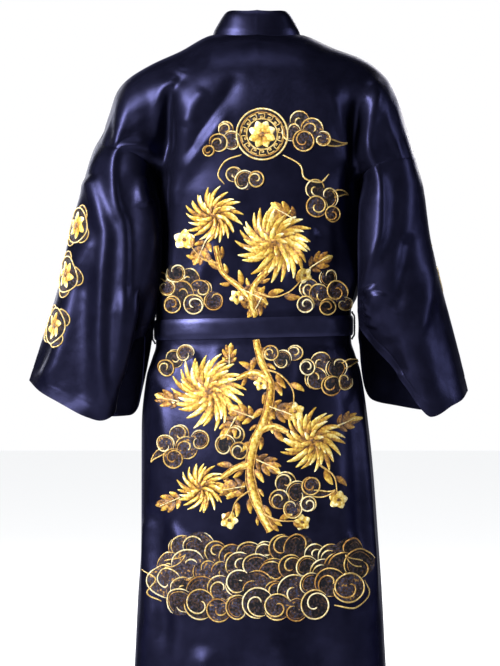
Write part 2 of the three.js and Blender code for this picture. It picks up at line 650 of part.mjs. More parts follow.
// The knot in front, a soft rounded lump of folded sash.
function sashKnot() {
  const geometry = new THREE.SphereGeometry(1, 20, 12);
  const at = geometry.attributes.position;
  const power = (value) => Math.sign(value) * Math.abs(value) ** 0.62;
  const front = -bodyPoint(0, -SASH_Z, -1).y + WALL + 0.7 + overStack({ x: 0, y: -1 }) + SASH_WALL;
  for (let i = 0; i < at.count; i++)
    at.setXYZ(i, -24 * power(at.getX(i)), 9 * power(at.getZ(i)) - front - 9.5, 20 * power(at.getY(i)) + SASH_Z);
  return geometry;
}

// The two free ends: from under the knot down the front, spreading a little.
function sashEnd(side) {
  const sign = side === "left" ? 1 : -1;
  const steps = 12;
  const top = SASH_Z - 20.6;
  const lift = OVERLAP_LIFT + BAND_WALL + 1.2;
  const rows = Array.from({ length: steps + 1 }, (_, j) => {
    const t = j / steps;
    const z = top - (sign > 0 ? 335 : 350) * t;
    const middle = sign * (12 + 24 * smooth(t * 2.2));
    const half = mix(8, SASH_WIDTH / 2, smooth(t * 2.2));
    return [1, 0, -1].map((w) => {
      const x = middle + w * half;
      const p = bodyPoint(columnAt(x, -z), -z, -1);
      const onCloth = -bodyFold(-1)(p) + p.y - lift - 1.5 * (1 - w * w);
      return new THREE.Vector3(x, mix(-124, onCloth, smooth(t * 7)), z);
    });
  });
  return new Grid(rows).wall(0, SASH_WALL);
}

const cloth = (color) => new THREE.MeshStandardMaterial({ color, roughness: 0.42, metalness: 0.15 });

function piece(name, geometry, color = 0x14142c) {
  const mesh = new THREE.Mesh(geometry, cloth(color));
  mesh.name = name;
  return mesh;
}

const robe = new THREE.Group();
robe.add(
  piece("back", backPanel()),
  piece("front_left", frontPanel("left")),
  piece("front_right", frontPanel("right")),
  piece("sleeve_left", sleeve("left")),
  piece("sleeve_right", sleeve("right")),
  piece("neckband", neckband()),
  piece("sash", sash()),
  piece("sash_knot", sashKnot()),
  piece("sash_end_left", sashEnd("left")),
  piece("sash_end_right", sashEnd("right")),
  piece("sash_loop_left", sashLoop("left")),
  piece("sash_loop_right", sashLoop("right")),
);
export default robe;
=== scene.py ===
"""A full-length satin kimono robe with gold embroidery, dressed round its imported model.

Sizes are in millimetres until a mesh is made. +Z is up, the front faces -Y, the wearer's left is +X.
A body panel is a grid of columns (a: -1 right side, 1 left side) and rows (d: how far down from the
shoulder line). A sleeve is a grid of rings (s: 0 armhole, 1 cuff) and columns round the arm (turn).
"""
import logging
import math
from collections.abc import Callable
from dataclasses import dataclass, field
from enum import Enum, IntEnum

import bpy
import numpy as np
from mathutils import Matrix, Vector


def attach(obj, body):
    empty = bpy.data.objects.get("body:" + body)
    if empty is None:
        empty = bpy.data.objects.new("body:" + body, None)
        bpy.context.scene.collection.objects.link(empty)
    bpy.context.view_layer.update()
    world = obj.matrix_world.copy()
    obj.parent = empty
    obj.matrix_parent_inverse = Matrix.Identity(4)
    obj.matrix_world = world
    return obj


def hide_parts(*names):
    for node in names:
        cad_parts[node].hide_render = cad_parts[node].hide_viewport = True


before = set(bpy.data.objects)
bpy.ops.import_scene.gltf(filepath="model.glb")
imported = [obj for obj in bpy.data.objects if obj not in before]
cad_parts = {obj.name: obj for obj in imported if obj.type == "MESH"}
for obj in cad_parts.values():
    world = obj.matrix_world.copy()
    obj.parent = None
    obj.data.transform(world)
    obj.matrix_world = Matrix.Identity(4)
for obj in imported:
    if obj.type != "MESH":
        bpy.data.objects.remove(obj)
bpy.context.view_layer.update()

LOG = logging.getLogger("robe")
MM = 0.001
Value = float | np.ndarray  # a number, or an array of them
Place = Callable[[np.ndarray, np.ndarray, Value], np.ndarray]  # lays a flat design's places on cloth


class Face(IntEnum):
    """A face of the body, by the way its depth points along Y."""

    BACK = 1
    FRONT = -1


class Side(Enum):
    """A side of the wearer, which tables and pieces are named after."""

    LEFT = "left"
    RIGHT = "right"

    @property
    def sign(self) -> int:
        """The way this side points along X."""
        return 1 if self is Side.LEFT else -1


class Edge(Enum):
    """An edge of a grid of cloth: its first row, first column or last column."""

    TOP = "top"
    FIRST = "first"
    LAST = "last"


# ---- Sizes of the cut
WALL = 2.0
INNER, OUTER = 0.3, 1.9  # the cloth's two faces, off the surface it is laid on
GROOVE_DEEP, GROOVE_WIDTH = 0.5, 1.8  # the dent along a line of stitches
TURN_UP = 22.0
LENGTH = 1270.0
ARMHOLE = 240.0
ARMHOLE_POWER = 1.5  # how the rows crowd round the armhole
UNDERARM_Z = -252.0
SHOULDER_END = 264.0
NECK_HALF = 75.0
NECK_DROP = 14.0
BAND_WIDTH = 45.0
BAND_WALL = 3.0
SASH_Z = -491.0
SASH_WIDTH = 34.0
SASH_WALL = 3.0
SASH_TILT = 0.024
SASH_GAP = 0.7
OVERLAP_LIFT = 6.0
LIFT_MARGIN = 56.0
SIDE_SQUARE = 2.3
TORSO_ARCH = 95.0
ARM_ARCH = 58.0
SLOPE_FADE = 400.0  # rows over which the shoulder's slope dies out
ARMHOLE_FADE = 60.0  # and the pull of the armhole below it
NECK_FADE = 100.0  # and the dip of the neck
YOKE_FROM = 110.0  # where the depth starts to change from the torso's to the arm's
HOLLOW_TOP, HOLLOW_FADE = 70.0, 120.0
SEAM_FADE = 12.0  # how far from a seam the folds have their full height
SASH_FADE = 45.0

SHOULDER = {
    "x": (0, 75, 130, 180, 218, 236, 250, 264),
    "left": (14, 4, -24, -47, -71, -92, -131, -168),
    "right": (14, 4, -19, -38, -67, -100, -142, -190),
}
BODY = {
    "z": (-1270, -1065, -940, -860, -740, -650, -570, -538, -517, -465, -442, -404, -326, -290, -268,
          -252, -130, 20),
    "left": (224, 210, 203, 197, 195, 194, 186, 176, 170, 170, 171, 167, 167, 168, 168, 166, 178, 190),
    "right": (228, 214, 208, 203, 195, 186, 174, 164, 158, 158, 168, 175, 178, 177, 175, 172, 180, 190),
    "back": (144, 132, 128, 126, 128, 122, 106, 95, 90, 90, 97, 99, 108, 113, 115, 116, 118, 100),
    "front": (142, 128, 122, 120, 118, 118, 113, 108, 104, 104, 110, 112, 115, 116, 116, 116, 104, 84),
}
ARM = {"left": (215.0, 49.0, 80.0), "right": (218.0, 46.0, 80.0)}
ARMHOLE_LINE = {
    "d": (0, 60, 110, 150, 190, ARMHOLE),
    "left": (-168, -184, -190, -196, -213, -252),
    "right": (-190, -204, -208, -212, -224, -252),
}
ARMHOLE_EDGE = {
    "left": ((-252, -235, -213, -198, -190, -168), (166, 172, 184, 214, 246, 275)),
    "right": ((-252, -238, -224, -212, -206, -190), (172, 176, 186, 214, 248, 275)),
}
HOLLOW = {Face.BACK: (158.0, 25.0, 32.0), Face.FRONT: (160.0, 26.0, 28.0)}
FRONT_EDGE = {
    "d": (0, 40, 100, 200, 300, 400, 474, 508, 700, 1000, 1270),
    "x": (75, 71, 58, 30, 0, -28, -46, -52, -66, -78, -86),
}
SLEEVE_TABLE = {
    "left": {
        "s": (0, 0.07, 0.2, 0.42, 0.64, 0.83, 1),
        "inX": (166, 168, 164, 161, 162, 169, 184),
        "inY": (0, 12, 38, 45, 46, 44, 34),
        "inZ": (-252, -264, -290, -345, -410, -462, -505),
        "outX": (264, 276, 292, 316, 338, 363, 386),
        "outZ": (-168, -190, -241, -335, -430, -510, -581),
        "back": (78, 79, 80, 80, 80, 79, 76),
        "front": (78, 80, 82, 84, 86, 86, 82),
        "sagBack": (14, 14, 16, 22, 40, 66, 98),
        "sagFront": (14, 14, 16, 22, 36, 58, 84),
    },
    "right": {
        "s": (0, 0.07, 0.2, 0.42, 0.64, 0.83, 1),
        "inX": (172, 174, 172, 171, 170, 169, 172),
        "inY": (0, 12, 38, 45, 46, 44, 34),
        "inZ": (-252, -264, -290, -345, -405, -452, -490),
        "outX": (264, 269, 280, 293, 315, 337, 357),
        "outZ": (-190, -210, -250, -345, -435, -515, -598),
        "back": (78, 79, 79, 79, 78, 77, 74),
        "front": (78, 80, 82, 84, 86, 86, 82),
        "sagBack": (14, 14, 16, 22, 40, 66, 94),
        "sagFront": (14, 14, 16, 24, 42, 66, 92),
    },
}
CUFF_TURN = (0, 37, 60, 90, 105, 120, 139, 159, 180, 201, 221, 240, 270, 300, 330, 360)
CUFF = {
    "left": (
        (386, 365, 336, 285, 262, 243, 231, 214, 190, 196, 206, 222, 268, 322, 365, 386),
        (0, 44, 64, 76, 74, 68, 58, 46, 34, -8, -40, -62, -82, -72, -42, 0),
        (-581, -598, -614, -640, -646, -636, -535, -512, -505, -580, -628, -642, -645, -628, -604, -581),
    ),
    "right": (
        (357, 344, 325, 290, 268, 246, 224, 196, 174, 178, 186, 200, 243, 300, 340, 357),
        (0, 42, 62, 74, 72, 66, 56, 44, 34, -8, -40, -62, -82, -70, -40, 0),
        (-598, -612, -622, -640, -620, -588, -556, -522, -490, -545, -592, -615, -626, -634, -622, -598),
    ),
}


# ---- Small tools
def smooth(t: Value) -> Value:
    """Ease from 0 to 1.

    Args:
        t: the share, also below 0 or above 1.

    Returns:
        The eased share, flat at both ends.
    """
    c = np.clip(t, 0.0, 1.0)
    return c * c * (3 - 2 * c)


def mix(a: Value, b: Value, t: Value) -> Value:
    """The value a share t of the way from a to b."""
    return a + (b - a) * t


def read(keys: tuple, values: tuple, at: Value) -> np.ndarray:
    """Read a table by a smooth curve that never runs past its rows.

    Args:
        keys: the rising list that it is read by.
        values: the value at each key.
        at: where to read it.

    Returns:
        The values there.
    """
    k = np.asarray(keys, float)
    v = np.asarray(values, float)
    at = np.clip(np.asarray(at, float), k[0], k[-1])
    rate = np.diff(v) / np.diff(k)
    before, after = rate[:-1], rate[1:]
    total = np.where(before + after == 0, 1.0, before + after)
    inner = np.where(before * after <= 0, 0.0, 2 * before * after / total)
    slope = np.concatenate([[rate[0]], inner, [rate[-1]]])
    i = np.clip(np.searchsorted(k, at, side="left") - 1, 0, len(k) - 2)
    step = k[i + 1] - k[i]
    t = (at - k[i]) / step
    start = v[i] * (2 * t**3 - 3 * t**2 + 1) + slope[i] * step * (t**3 - 2 * t**2 + t)
    end = v[i + 1] * (3 * t**2 - 2 * t**3) + slope[i + 1] * step * (t**3 - t**2)
    return start + end


def by_side(left: np.ndarray, table: dict, key: str, at: Value) -> np.ndarray:
    """Read a table that has one column for each side, by a mask of what is left."""
    return np.where(left, read(table[key], table["left"], at), read(table[key], table["right"], at))


def unit(v: np.ndarray) -> np.ndarray:
    """Vectors at length 1."""
    return v / np.maximum(np.linalg.norm(v, axis=-1, keepdims=True), 1e-9)


def lengths_along(points: np.ndarray) -> np.ndarray:
    """How far along a line each of its points is."""
    return np.concatenate([[0], np.cumsum(np.linalg.norm(np.diff(points, axis=0), axis=-1))])


def spline(points: tuple | list | np.ndarray, steps: int = 12) -> np.ndarray:
    """Lay a smooth curve through points.

    Args:
        points: what it runs through.
        steps: how many steps there are between two of them.

    Returns:
        The curve's points.
    """
    p = np.asarray(points, float)
    if len(p) < 3:
        return np.array([mix(p[0], p[-1], t) for t in np.linspace(0, 1, steps + 1)])
    ends = np.vstack([2 * p[0] - p[1], p, 2 * p[-1] - p[-2]])
    out = []
    for i in range(1, len(ends) - 2):
        a, b, c, e = ends[i - 1], ends[i], ends[i + 1], ends[i + 2]
        for t in np.arange(steps) / steps:
            out.append(0.5 * (2 * b + (c - a) * t + (2 * a - 5 * b + 4 * c - e) * t * t
                              + (3 * b - a - 3 * c + e) * t**3))
    out.append(p[-1])
    return np.array(out)


def ripple(x: np.ndarray, z: np.ndarray, size: float, seed: int, waves: int = 14) -> np.ndarray:
    """Gentle uneven waves of about one size, the same each run.

    Args:
        x, z: where.
        size: the usual wavelength.
        seed: picks the directions and starts.
        waves: how many waves are added up.

    Returns:
        Values about -1 to 1.
    """
    rng = np.random.default_rng(seed)
    out = np.zeros(np.broadcast(x, z).shape)
    for _ in range(waves):
        turn, start = rng.uniform(0, math.tau), rng.uniform(0, math.tau)
        length = size * rng.uniform(0.6, 1.6)
        out += np.sin((x * math.cos(turn) + z * math.sin(turn)) * math.tau / length + start)
    return out / math.sqrt(waves) / 1.4


# ---- The body's surface
def arm_row(left: np.ndarray) -> tuple:
    """The arm's middle, half width and depth at the armhole, by a mask of what is left."""
    return tuple(np.where(left, ARM["left"][k], ARM["right"][k]) for k in range(3))


def armhole_turn(d: np.ndarray) -> np.ndarray:
    """How far round the armhole a row ends, in degrees."""
    return 180 * (np.minimum(d, ARMHOLE) / ARMHOLE) ** ARMHOLE_POWER


def body_half(left: np.ndarray, z: np.ndarray) -> np.ndarray:
    """Half width of the body at a height."""
    return by_side(left, BODY, "z", z)


def row_end(left: np.ndarray, d: np.ndarray, z: np.ndarray) -> np.ndarray:
    """Distance from the centre line of a row's end: on the armhole, or on the side seam below it."""
    middle, half, _ = arm_row(left)
    return np.where(d > ARMHOLE, body_half(left, z), middle + half * np.cos(np.radians(armhole_turn(d))))


def shoulder_z(left: np.ndarray, x: np.ndarray) -> np.ndarray:
    """Height of the shoulder line."""
    return by_side(left, SHOULDER, "x", x)


def levelled_z(left: np.ndarray, x: np.ndarray, d: np.ndarray) -> np.ndarray:
    """A row's height before the armhole pulls on it."""
    return shoulder_z(left, x) * (1 - smooth(d / SLOPE_FADE)) - d


def row_z(left: np.ndarray, x: np.ndarray, d: np.ndarray, face: Face) -> np.ndarray:
    """Height of a row of the cloth.

    Args:
        left: a mask of what is on the left.
        x: distance from the centre line.
        d: the row.
        face: the face of the body; the front has the dip of the neck taken out.

    Returns:
        The heights.
    """
    top = np.minimum(d, ARMHOLE)
    end = row_end(left, top, np.full_like(top, -ARMHOLE))
    line = by_side(left, ARMHOLE_LINE, "d", d)
    to_line = (line - levelled_z(left, end, top)) * (1 - smooth((d - ARMHOLE) / ARMHOLE_FADE))
    dip = NECK_DROP * (1 - (x / NECK_HALF) ** 2) * np.maximum(0, 1 - d / NECK_FADE)
    dip = np.where(x < NECK_HALF, dip, 0)
    z = levelled_z(left, x, d) + to_line * np.minimum(1, x / end) ** 5
    return z - dip if face > 0 else z


def yoke_depth(left: np.ndarray, x: np.ndarray, z: np.ndarray, face: Face) -> np.ndarray:
    """Depth of the cloth over shoulder, back and upper arm, above the underarm.

    Args:
        left: a mask of what is on the left.
        x, z: distance from the centre line, and height.
        face: the face of the body.

    Returns:
        The depths, 0 on the shoulder line.
    """
    hollow_x, hollow_width, hollow_depth = HOLLOW[face]
    torso = read(BODY["z"], BODY[face.name.lower()], z) * (1 - 0.1 * np.minimum(1, x / 150) ** 2)
    middle, _, depth = arm_row(left)
    out = smooth((x - YOKE_FROM) / (middle - YOKE_FROM))
    dip = hollow_depth * smooth((-z - HOLLOW_TOP) / HOLLOW_FADE)
    dip = dip * np.exp(-(((x - hollow_x) / hollow_width) ** 2))
    rise = (shoulder_z(left, x + 2) - shoulder_z(left, x - 2)) / 4
    inside = np.maximum(0, shoulder_z(left, x) - z) / np.hypot(1, rise)
    arch = np.minimum(1, inside / mix(TORSO_ARCH, ARM_ARCH, out))
    return (mix(torso, depth, out) - dip) * np.sqrt(np.maximum(0, 1 - (1 - arch) ** 2))


def ring_over_yoke(left: np.ndarray, d: np.ndarray, face: Face) -> np.ndarray:
    """How far the armhole ring stands out past the yoke at a row's end.

    Args:
        left: a mask of what is on the left.
        d: the row.
        face: the face of the body.

    Returns:
        The differences of the squared depths.
    """
    end = row_end(left, d, -d)
    there = yoke_depth(left, end, row_z(left, end, d, face), face) * (1 - smooth((d / ARMHOLE - 0.6) / 0.4))
    turn = armhole_turn(d)
    power = 0.7 + 0.8 * smooth((turn - 110) / 50)
    ring = arm_row(left)[2] * np.maximum(0, np.sin(np.radians(turn))) ** power
    return ring**2 - there**2


def body_point(a: Value, d: Value, face: Face) -> np.ndarray:
    """The point of column a and row d.

    Args:
        a: the column, -1 to 1.
        d: the row, down from the shoulder line.
        face: the face of the body.

    Returns:
        Points, in the last axis x, y and z.
    """
    a, d = np.broadcast_arrays(np.asarray(a, float), np.asarray(d, float))
    left = a >= 0
    sign = np.where(left, 1.0, -1.0)
    share = np.minimum(1, np.abs(a))
    round_ = np.sin(math.pi / 2 * share)
    low = smooth((d - ARMHOLE * 0.35) / (ARMHOLE * 0.65))
    x = row_end(left, d, -d) * mix(share, round_, low)
    z = row_z(left, x, d, face)
    level = z + SASH_TILT * sign * x * smooth((d - 300) / 150)
    x = np.where(d >= ARMHOLE, body_half(left, level) * round_, x)
    ring = read(BODY["z"], BODY[face.name.lower()], level)
    ring = ring * np.maximum(0, 1 - round_**SIDE_SQUARE) ** (1 / SIDE_SQUARE)
    yoke = np.where(d < ARMHOLE, yoke_depth(left, x, z, face), 0)
    y = mix(yoke, ring, smooth((d - ARMHOLE * 0.6) / (ARMHOLE * 0.4)))
    over = np.sqrt(np.maximum(0, y**2 + ring_over_yoke(left, np.minimum(d, ARMHOLE), face) * share**7))
    y = np.where(d < ARMHOLE, over, y)
    return np.stack([sign * x, face * y, z], axis=-1)


def column_at(x: Value, d: Value, face: Face = Face.FRONT) -> np.ndarray:
    """Find the column that passes a place on a row.

    Args:
        x: the place along X.
        d: the row.
        face: the face of the body.

    Returns:
        The columns, -1 to 1.
    """
    x, d = np.broadcast_arrays(np.asarray(x, float), np.asarray(d, float))
    low, high = np.full(x.shape, -1.0), np.full(x.shape, 1.0)
    for _ in range(24):
        middle = (low + high) / 2
        less = body_point(middle, d, face)[..., 0] < x
        low, high = np.where(less, middle, low), np.where(less, high, middle)
    return (low + high) / 2


def front_edge(d: np.ndarray) -> np.ndarray:
    """Distance of the front edge past the centre line."""
    return read(FRONT_EDGE["d"], FRONT_EDGE["x"], d)


def overlap_lift(x: Value, d: Value) -> np.ndarray:
    """How far the left front lies outside the right one."""
    return OVERLAP_LIFT * smooth((BAND_WIDTH + LIFT_MARGIN - front_edge(d) - x) / 60) * smooth((d - 60) / 90)


# ---- Folds
@dataclass(frozen=True)
class Fold:
    """A soft ridge (height above 0) or trough along a path of (x, z) points."""

    path: tuple
    width: float
    height: float
    far_width: float = 0.0  # width on the right of the path, where it differs
    sharp: float = 1.8  # 2 is soft, 1.3 a crease
    fade: float = 0.18  # the share of the path that each end dies out over
    crest: float = 1.8  # radius of its rounded top

    def add_to(self, out: np.ndarray, x: np.ndarray, z: np.ndarray) -> None:
        """Add this fold's height to an array.

        Args:
            out: the heights so far, which are changed.
            x, z: the place of each height.
        """
        curve = spline(self.path, 10)
        reach = 3 * max(self.width, self.far_width)
        lo, hi = curve.min(0) - reach, curve.max(0) + reach
        near = (x > lo[0]) & (x < hi[0]) & (z > lo[1]) & (z < hi[1])
        if not near.any():
            return
        px, pz = x[near], z[near]
        a, b = curve[:-1], curve[1:]
        ab = b - a
        t = ((px[:, None] - a[:, 0]) * ab[:, 0] + (pz[:, None] - a[:, 1]) * ab[:, 1]) / (ab**2).sum(1)
        t = np.clip(t, 0, 1)
        dx = px[:, None] - (a[:, 0] + ab[:, 0] * t)
        dz = pz[:, None] - (a[:, 1] + ab[:, 1] * t)
        distance = np.hypot(dx, dz)
        best = distance.argmin(1)
        rows = np.arange(len(px))
        off = np.hypot(distance[rows, best], self.crest) - self.crest
        side = ab[best, 0] * dz[rows, best] - ab[best, 1] * dx[rows, best]
        along = (best + t[rows, best]) / len(a)
        width = np.where(side < 0, self.far_width or self.width, self.width)
        ends = smooth(along / self.fade) * smooth((1 - along) / self.fade)
        out[near] += self.height * np.exp(-((off / width) ** self.sharp)) * ends


def folds(*rows: tuple) -> list[Fold]:
    """Folds from rows of a path, a width, a height and what else differs."""
    return [Fold(*row) for row in rows]


BACK_FOLDS = folds(
    (((126, -60), (148, -110), (152, -225)), 13, -6),
    (((156, -215), (161, -300), (162, -420)), 12, -6),
    (((119, -50), (140, -80), (158, -120), (178, -180)), 11, 4),
    (((30, -66), (51, -107), (78, -146), (99, -175), (122, -224)), 9, -5, 18, 1.6),
    (((42, -120), (70, -165), (97, -199), (126, -245), (146, -300)), 17, 4.5, 9, 1.6),
    (((84, -96), (106, -128), (118, -160)), 10, 2.2),
    (((-170, -90), (-163, -190), (-160, -300), (-158, -420)), 14, -5),
    (((-120, -92), (-136, -150), (-148, -190), (-150, -226)), 8, 4, 18, 1.5),
    (((-96, -325), (-84, -345), (-66, -385), (-44, -425)), 9, 4.5, 12, 1.6),
    (((-112, -318), (-98, -370), (-80, -430)), 12, -2.2),
    (((60, -350), (84, -385), (100, -420), (118, -455)), 12, 3.5),
    (((132, -330), (140, -380), (146, -440)), 8, 3, 8, 1.6),
    (((-152, -338), (-158, -400), (-150, -458)), 7, 3.4, 9, 1.6),
    (((-128, -300), (-134, -370), (-130, -440)), 9, -2.4),
    (((18, -330), (26, -380), (24, -440)), 14, -1.8),
    (((186, -800), (181, -880), (168, -1010)), 15, 6, 11, 1.6),
    (((164, -780), (160, -880), (150, -1040)), 16, -5),
    (((140, -820), (134, -940), (120, -1150)), 18, 4),
    (((-172, -530), (-186, -700), (-196, -1000)), 12, 5, 15, 1.6),
    (((-150, -540), (-166, -700), (-178, -980)), 15, -5),
    (((-128, -700), (-140, -860), (-150, -1120)), 18, 4),
    (((178, -522), (160, -548), (134, -566)), 7, 3, 7, 1.5),
    (((182, -548), (166, -580), (140, -606)), 8, 3.4, 8, 1.5),
    (((150, -520), (136, -538), (112, -546)), 6, 2.4),
    (((170, -600), (158, -640), (150, -700)), 9, 3),
    (((120, -524), (104, -552), (96, -590)), 7, 2.2),
    (((-108, -520), (-118, -556), (-132, -600)), 8, 2.8),
    (((-66, -522), (-72, -560), (-60, -610)), 9, 2.0),
    (((-140, -524), (-150, -560), (-156, -620)), 7, 3),
    (((60, -520), (66, -545), (62, -580)), 8, 1.8),
    (((150, -812), (120, -846), (100, -850)), 8, 2.6),
    (((160, -880), (140, -905), (124, -960)), 9, 3),
    (((-150, -826), (-170, -880), (-174, -960)), 9, 3),
    (((-40, -1000), (-52, -1100), (-58, -1220)), 22, 5),
    (((30, -1020), (34, -1120), (40, -1230)), 20, -5),
    (((84, -1010), (92, -1110), (98, -1240)), 18, 5),
    (((-104, -1000), (-114, -1110), (-120, -1230)), 18, -5),
)
FRONT_FOLDS = folds(
    (((128, -60), (150, -120), (156, -220)), 15, -5),
    (((-150, -70), (-160, -140), (-160, -240)), 15, -5),
    (((110, -110), (96, -230), (78, -440)), 20, 5, 14, 1.7),
    (((140, -230), (126, -330), (112, -455)), 18, -4),
    (((130, -150), (112, -240), (104, -330)), 9, 2.6, 12, 1.6),
    (((60, -380), (50, -420), (48, -462)), 9, 3),
    (((90, -400), (84, -430), (70, -468)), 8, 2.6),
    (((-108, -110), (-90, -230), (-72, -440)), 20, 5, 14, 1.7),
    (((-140, -230), (-124, -330), (-104, -455)), 18, -4),
    (((-126, -150), (-112, -260), (-98, -350)), 9, 2.6, 12, 1.6),
    (((-60, -390), (-52, -430), (-30, -466)), 9, 3),
    (((60, -530), (74, -720), (92, -1100)), 18, 6, 14, 1.7),
    (((118, -540), (126, -760), (142, -1180)), 18, -6),
    (((150, -560), (158, -700), (170, -1000)), 12, 4),
    (((-96, -530), (-108, -720), (-128, -1150)), 18, 6, 14, 1.7),
    (((-150, -540), (-156, -700), (-168, -980)), 13, 4),
    (((20, -530), (14, -640), (10, -820)), 14, 3.5),
    (((-60, -530), (-52, -640), (-50, -760)), 13, -3.5),
    (((40, -524), (46, -560), (62, -610)), 7, 2.6),
    (((100, -524), (108, -560), (104, -620)), 8, 2.6),
    (((-120, -524), (-126, -560), (-120, -620)), 8, 2.6),
)
CROSSING_FOLDS = {  # these run on over the armhole seam
    Side.LEFT: folds(
        (((121, -63), (150, -86), (160, -120), (162, -160), (168, -196)), 14, 6.5, 8, 1.6),
        (((168, -196), (200, -188), (229, -190), (240, -214), (240, -258), (233, -294), (221, -330),
          (220, -423), (229, -525), (243, -640)), 13, 8.5, 7, 1.6, 0.05),
        (((146, -84), (150, -130), (152, -190), (158, -250)), 9, -7, 7, 1.7),
        (((263, -160), (272, -190), (286, -236)), 9, 5, 12, 1.6),
    ),
    Side.RIGHT: folds(
        (((186, -70), (203, -96), (190, -143), (183, -185), (196, -228), (204, -258), (204, -321),
          (196, -357), (176, -408), (170, -440)), 9, 10, 15, 1.6, 0.07),
        (((168, -96), (166, -143), (160, -190), (158, -226)), 9, -5, 8, 1.7),
        (((228, -110), (222, -160), (228, -230), (230, -320), (218, -390)), 14, -4),
        (((262, -150), (268, -200), (264, -250), (246, -321), (214, -422)), 14, 3.5, 18, 1.7),
    ),
}
SLEEVE_FOLDS = {
    (Side.LEFT, Face.BACK): folds(
        (((284, -232), (272, -262), (257, -308), (250, -345), (257, -423), (261, -525), (255, -600),
          (247, -646)), 15, 9.5, 10, 1.7, 0.1),
        (((270, -330), (285, -364), (303, -404), (320, -481), (340, -554), (366, -590)),
         16, 6, 12, 1.7, 0.16),
        (((290, -380), (290, -470), (294, -560), (302, -640)), 24, -6),
        (((204, -225), (208, -300), (206, -380), (210, -470)), 24, -8),
        (((189, -236), (190, -262), (186, -292)), 9, 5, 8, 1.6),
        (((308, -270), (326, -340), (344, -420)), 11, 4),
        (((330, -470), (352, -530), (376, -570)), 10, -4),
        (((206, -420), (212, -500), (222, -600)), 9, 5),
    ),
    (Side.LEFT, Face.FRONT): folds(
        (((262, -200), (262, -330), (270, -470)), 14, 8, 10, 1.7),
        (((222, -230), (226, -350), (232, -520)), 13, 8, 9, 1.7),
        (((300, -330), (318, -430), (340, -560)), 15, 7),
        (((246, -260), (246, -380), (252, -540)), 14, -8),
        (((196, -260), (200, -350), (204, -440)), 15, -7),
        (((286, -420), (292, -500), (290, -600)), 14, 5),
    ),
    (Side.RIGHT, Face.BACK): folds(
        (((184, -420), (192, -440), (180, -456)), 8, 6),
        (((206, -430), (198, -452), (184, -470)), 7, 5),
        (((176, -452), (192, -474), (190, -492)), 7, 5),
        (((288, -360), (286, -422), (274, -480), (252, -516)), 12, 6, 15, 1.7, 0.3),
        (((252, -330), (244, -400), (226, -470)), 13, -6),
        (((304, -440), (312, -520), (326, -610)), 20, -5),
        (((222, -500), (236, -560), (262, -640)), 16, -5),
        (((246, -560), (240, -600), (234, -640)), 13, 4),
        (((176, -484), (184, -560), (182, -620)), 7, 4),
        (((300, -260), (304, -320), (306, -380)), 12, 2.5),
    ),
    (Side.RIGHT, Face.FRONT): folds(
        (((256, -210), (256, -330), (264, -470)), 14, 8, 10, 1.7),
        (((220, -230), (222, -350), (226, -520)), 13, 8, 9, 1.7),
        (((292, -330), (304, -430), (320, -560)), 15, 7),
        (((240, -260), (238, -380), (244, -540)), 14, -8),
        (((192, -260), (194, -340), (196, -430)), 15, -7),
        (((280, -420), (286, -500), (284, -600)), 14, 5),
    ),
}
FLUTE_FROM, FLUTE_DEEP = -620.0, 9.0
FLUTE_WAVES = ((3, 0.35, 0.6), (5, 0.4, 2.1), (8, 0.25, 4.0))  # how many, their share, where they start
FOLD_GAIN = 1.3


def fold_height(rows: list[Fold], x: np.ndarray, z: np.ndarray) -> np.ndarray:
    """Add up a set of folds.

    Args:
        rows: the folds.
        x, z: where.

    Returns:
        Their height at each place.
    """
    out = np.zeros(x.shape)
    for row in rows:
        row.add_to(out, x, z)
    return out


def flute(p: np.ndarray) -> np.ndarray:
    """Waves round the skirt that die out at the hips.

    Args:
        p: points of the body.

    Returns:
        The height of the waves at each point.
    """
    angle = np.arctan2(p[..., 0], p[..., 1])
    wave = sum(share * np.sin(n * angle + start) for n, share, start in FLUTE_WAVES)
    return FLUTE_DEEP * smooth((FLUTE_FROM - p[..., 2]) / 500) * wave


def body_folds(p: np.ndarray, face: Face) -> np.ndarray:
    """All folds of the body: none at the side seams, the armhole and the sash.

    Args:
        p: points of the body.
        face: the face of the body.

    Returns:
        The height of the folds at each point.
    """
    x, z = p[..., 0], p[..., 2]
    off = np.minimum(1, np.abs(z - (SASH_Z - SASH_TILT * x)) / SASH_FADE) ** 2
    left = x >= 0
    on_arm = np.where(left, read(*ARMHOLE_EDGE["left"], z), read(*ARMHOLE_EDGE["right"], z))
    end = np.where(z > UNDERARM_Z, on_arm, body_half(left, z))
    seam = smooth((end - WALL - np.abs(x)) / SEAM_FADE)
    fine = 0.5 * ripple(x, z * 0.5, 80, 5) + 0.10 * ripple(x, z * 0.8, 24, 6)
    fine = fine * smooth((-z - 30) / 60)
    large = FOLD_GAIN * fold_height(BACK_FOLDS if face is Face.BACK else FRONT_FOLDS, x, z)
    return ((large + fine) * seam + flute(p)) * off


def crossing_lift(p: np.ndarray, on_body: bool) -> np.ndarray:
    """How far the folds that cross the armhole seams lift the cloth straight back.

    Args:
        p: points of the body or of a sleeve.
        on_body: whether they are the body's, where the folds stop at the side seam.

    Returns:
        The lift at each point.
    """
    x, z = p[..., 0], p[..., 2]
    left = x >= 0
    lift = np.where(left, fold_height(CROSSING_FOLDS[Side.LEFT], x, z),
                    fold_height(CROSSING_FOLDS[Side.RIGHT], -x, z))
    lift = lift * smooth(p[..., 1] / 30)
    if on_body:
        lift = lift * np.where(z > -ARMHOLE, 1.0, smooth((body_half(left, z) - WALL - np.abs(x)) / SEAM_FADE))
    return lift


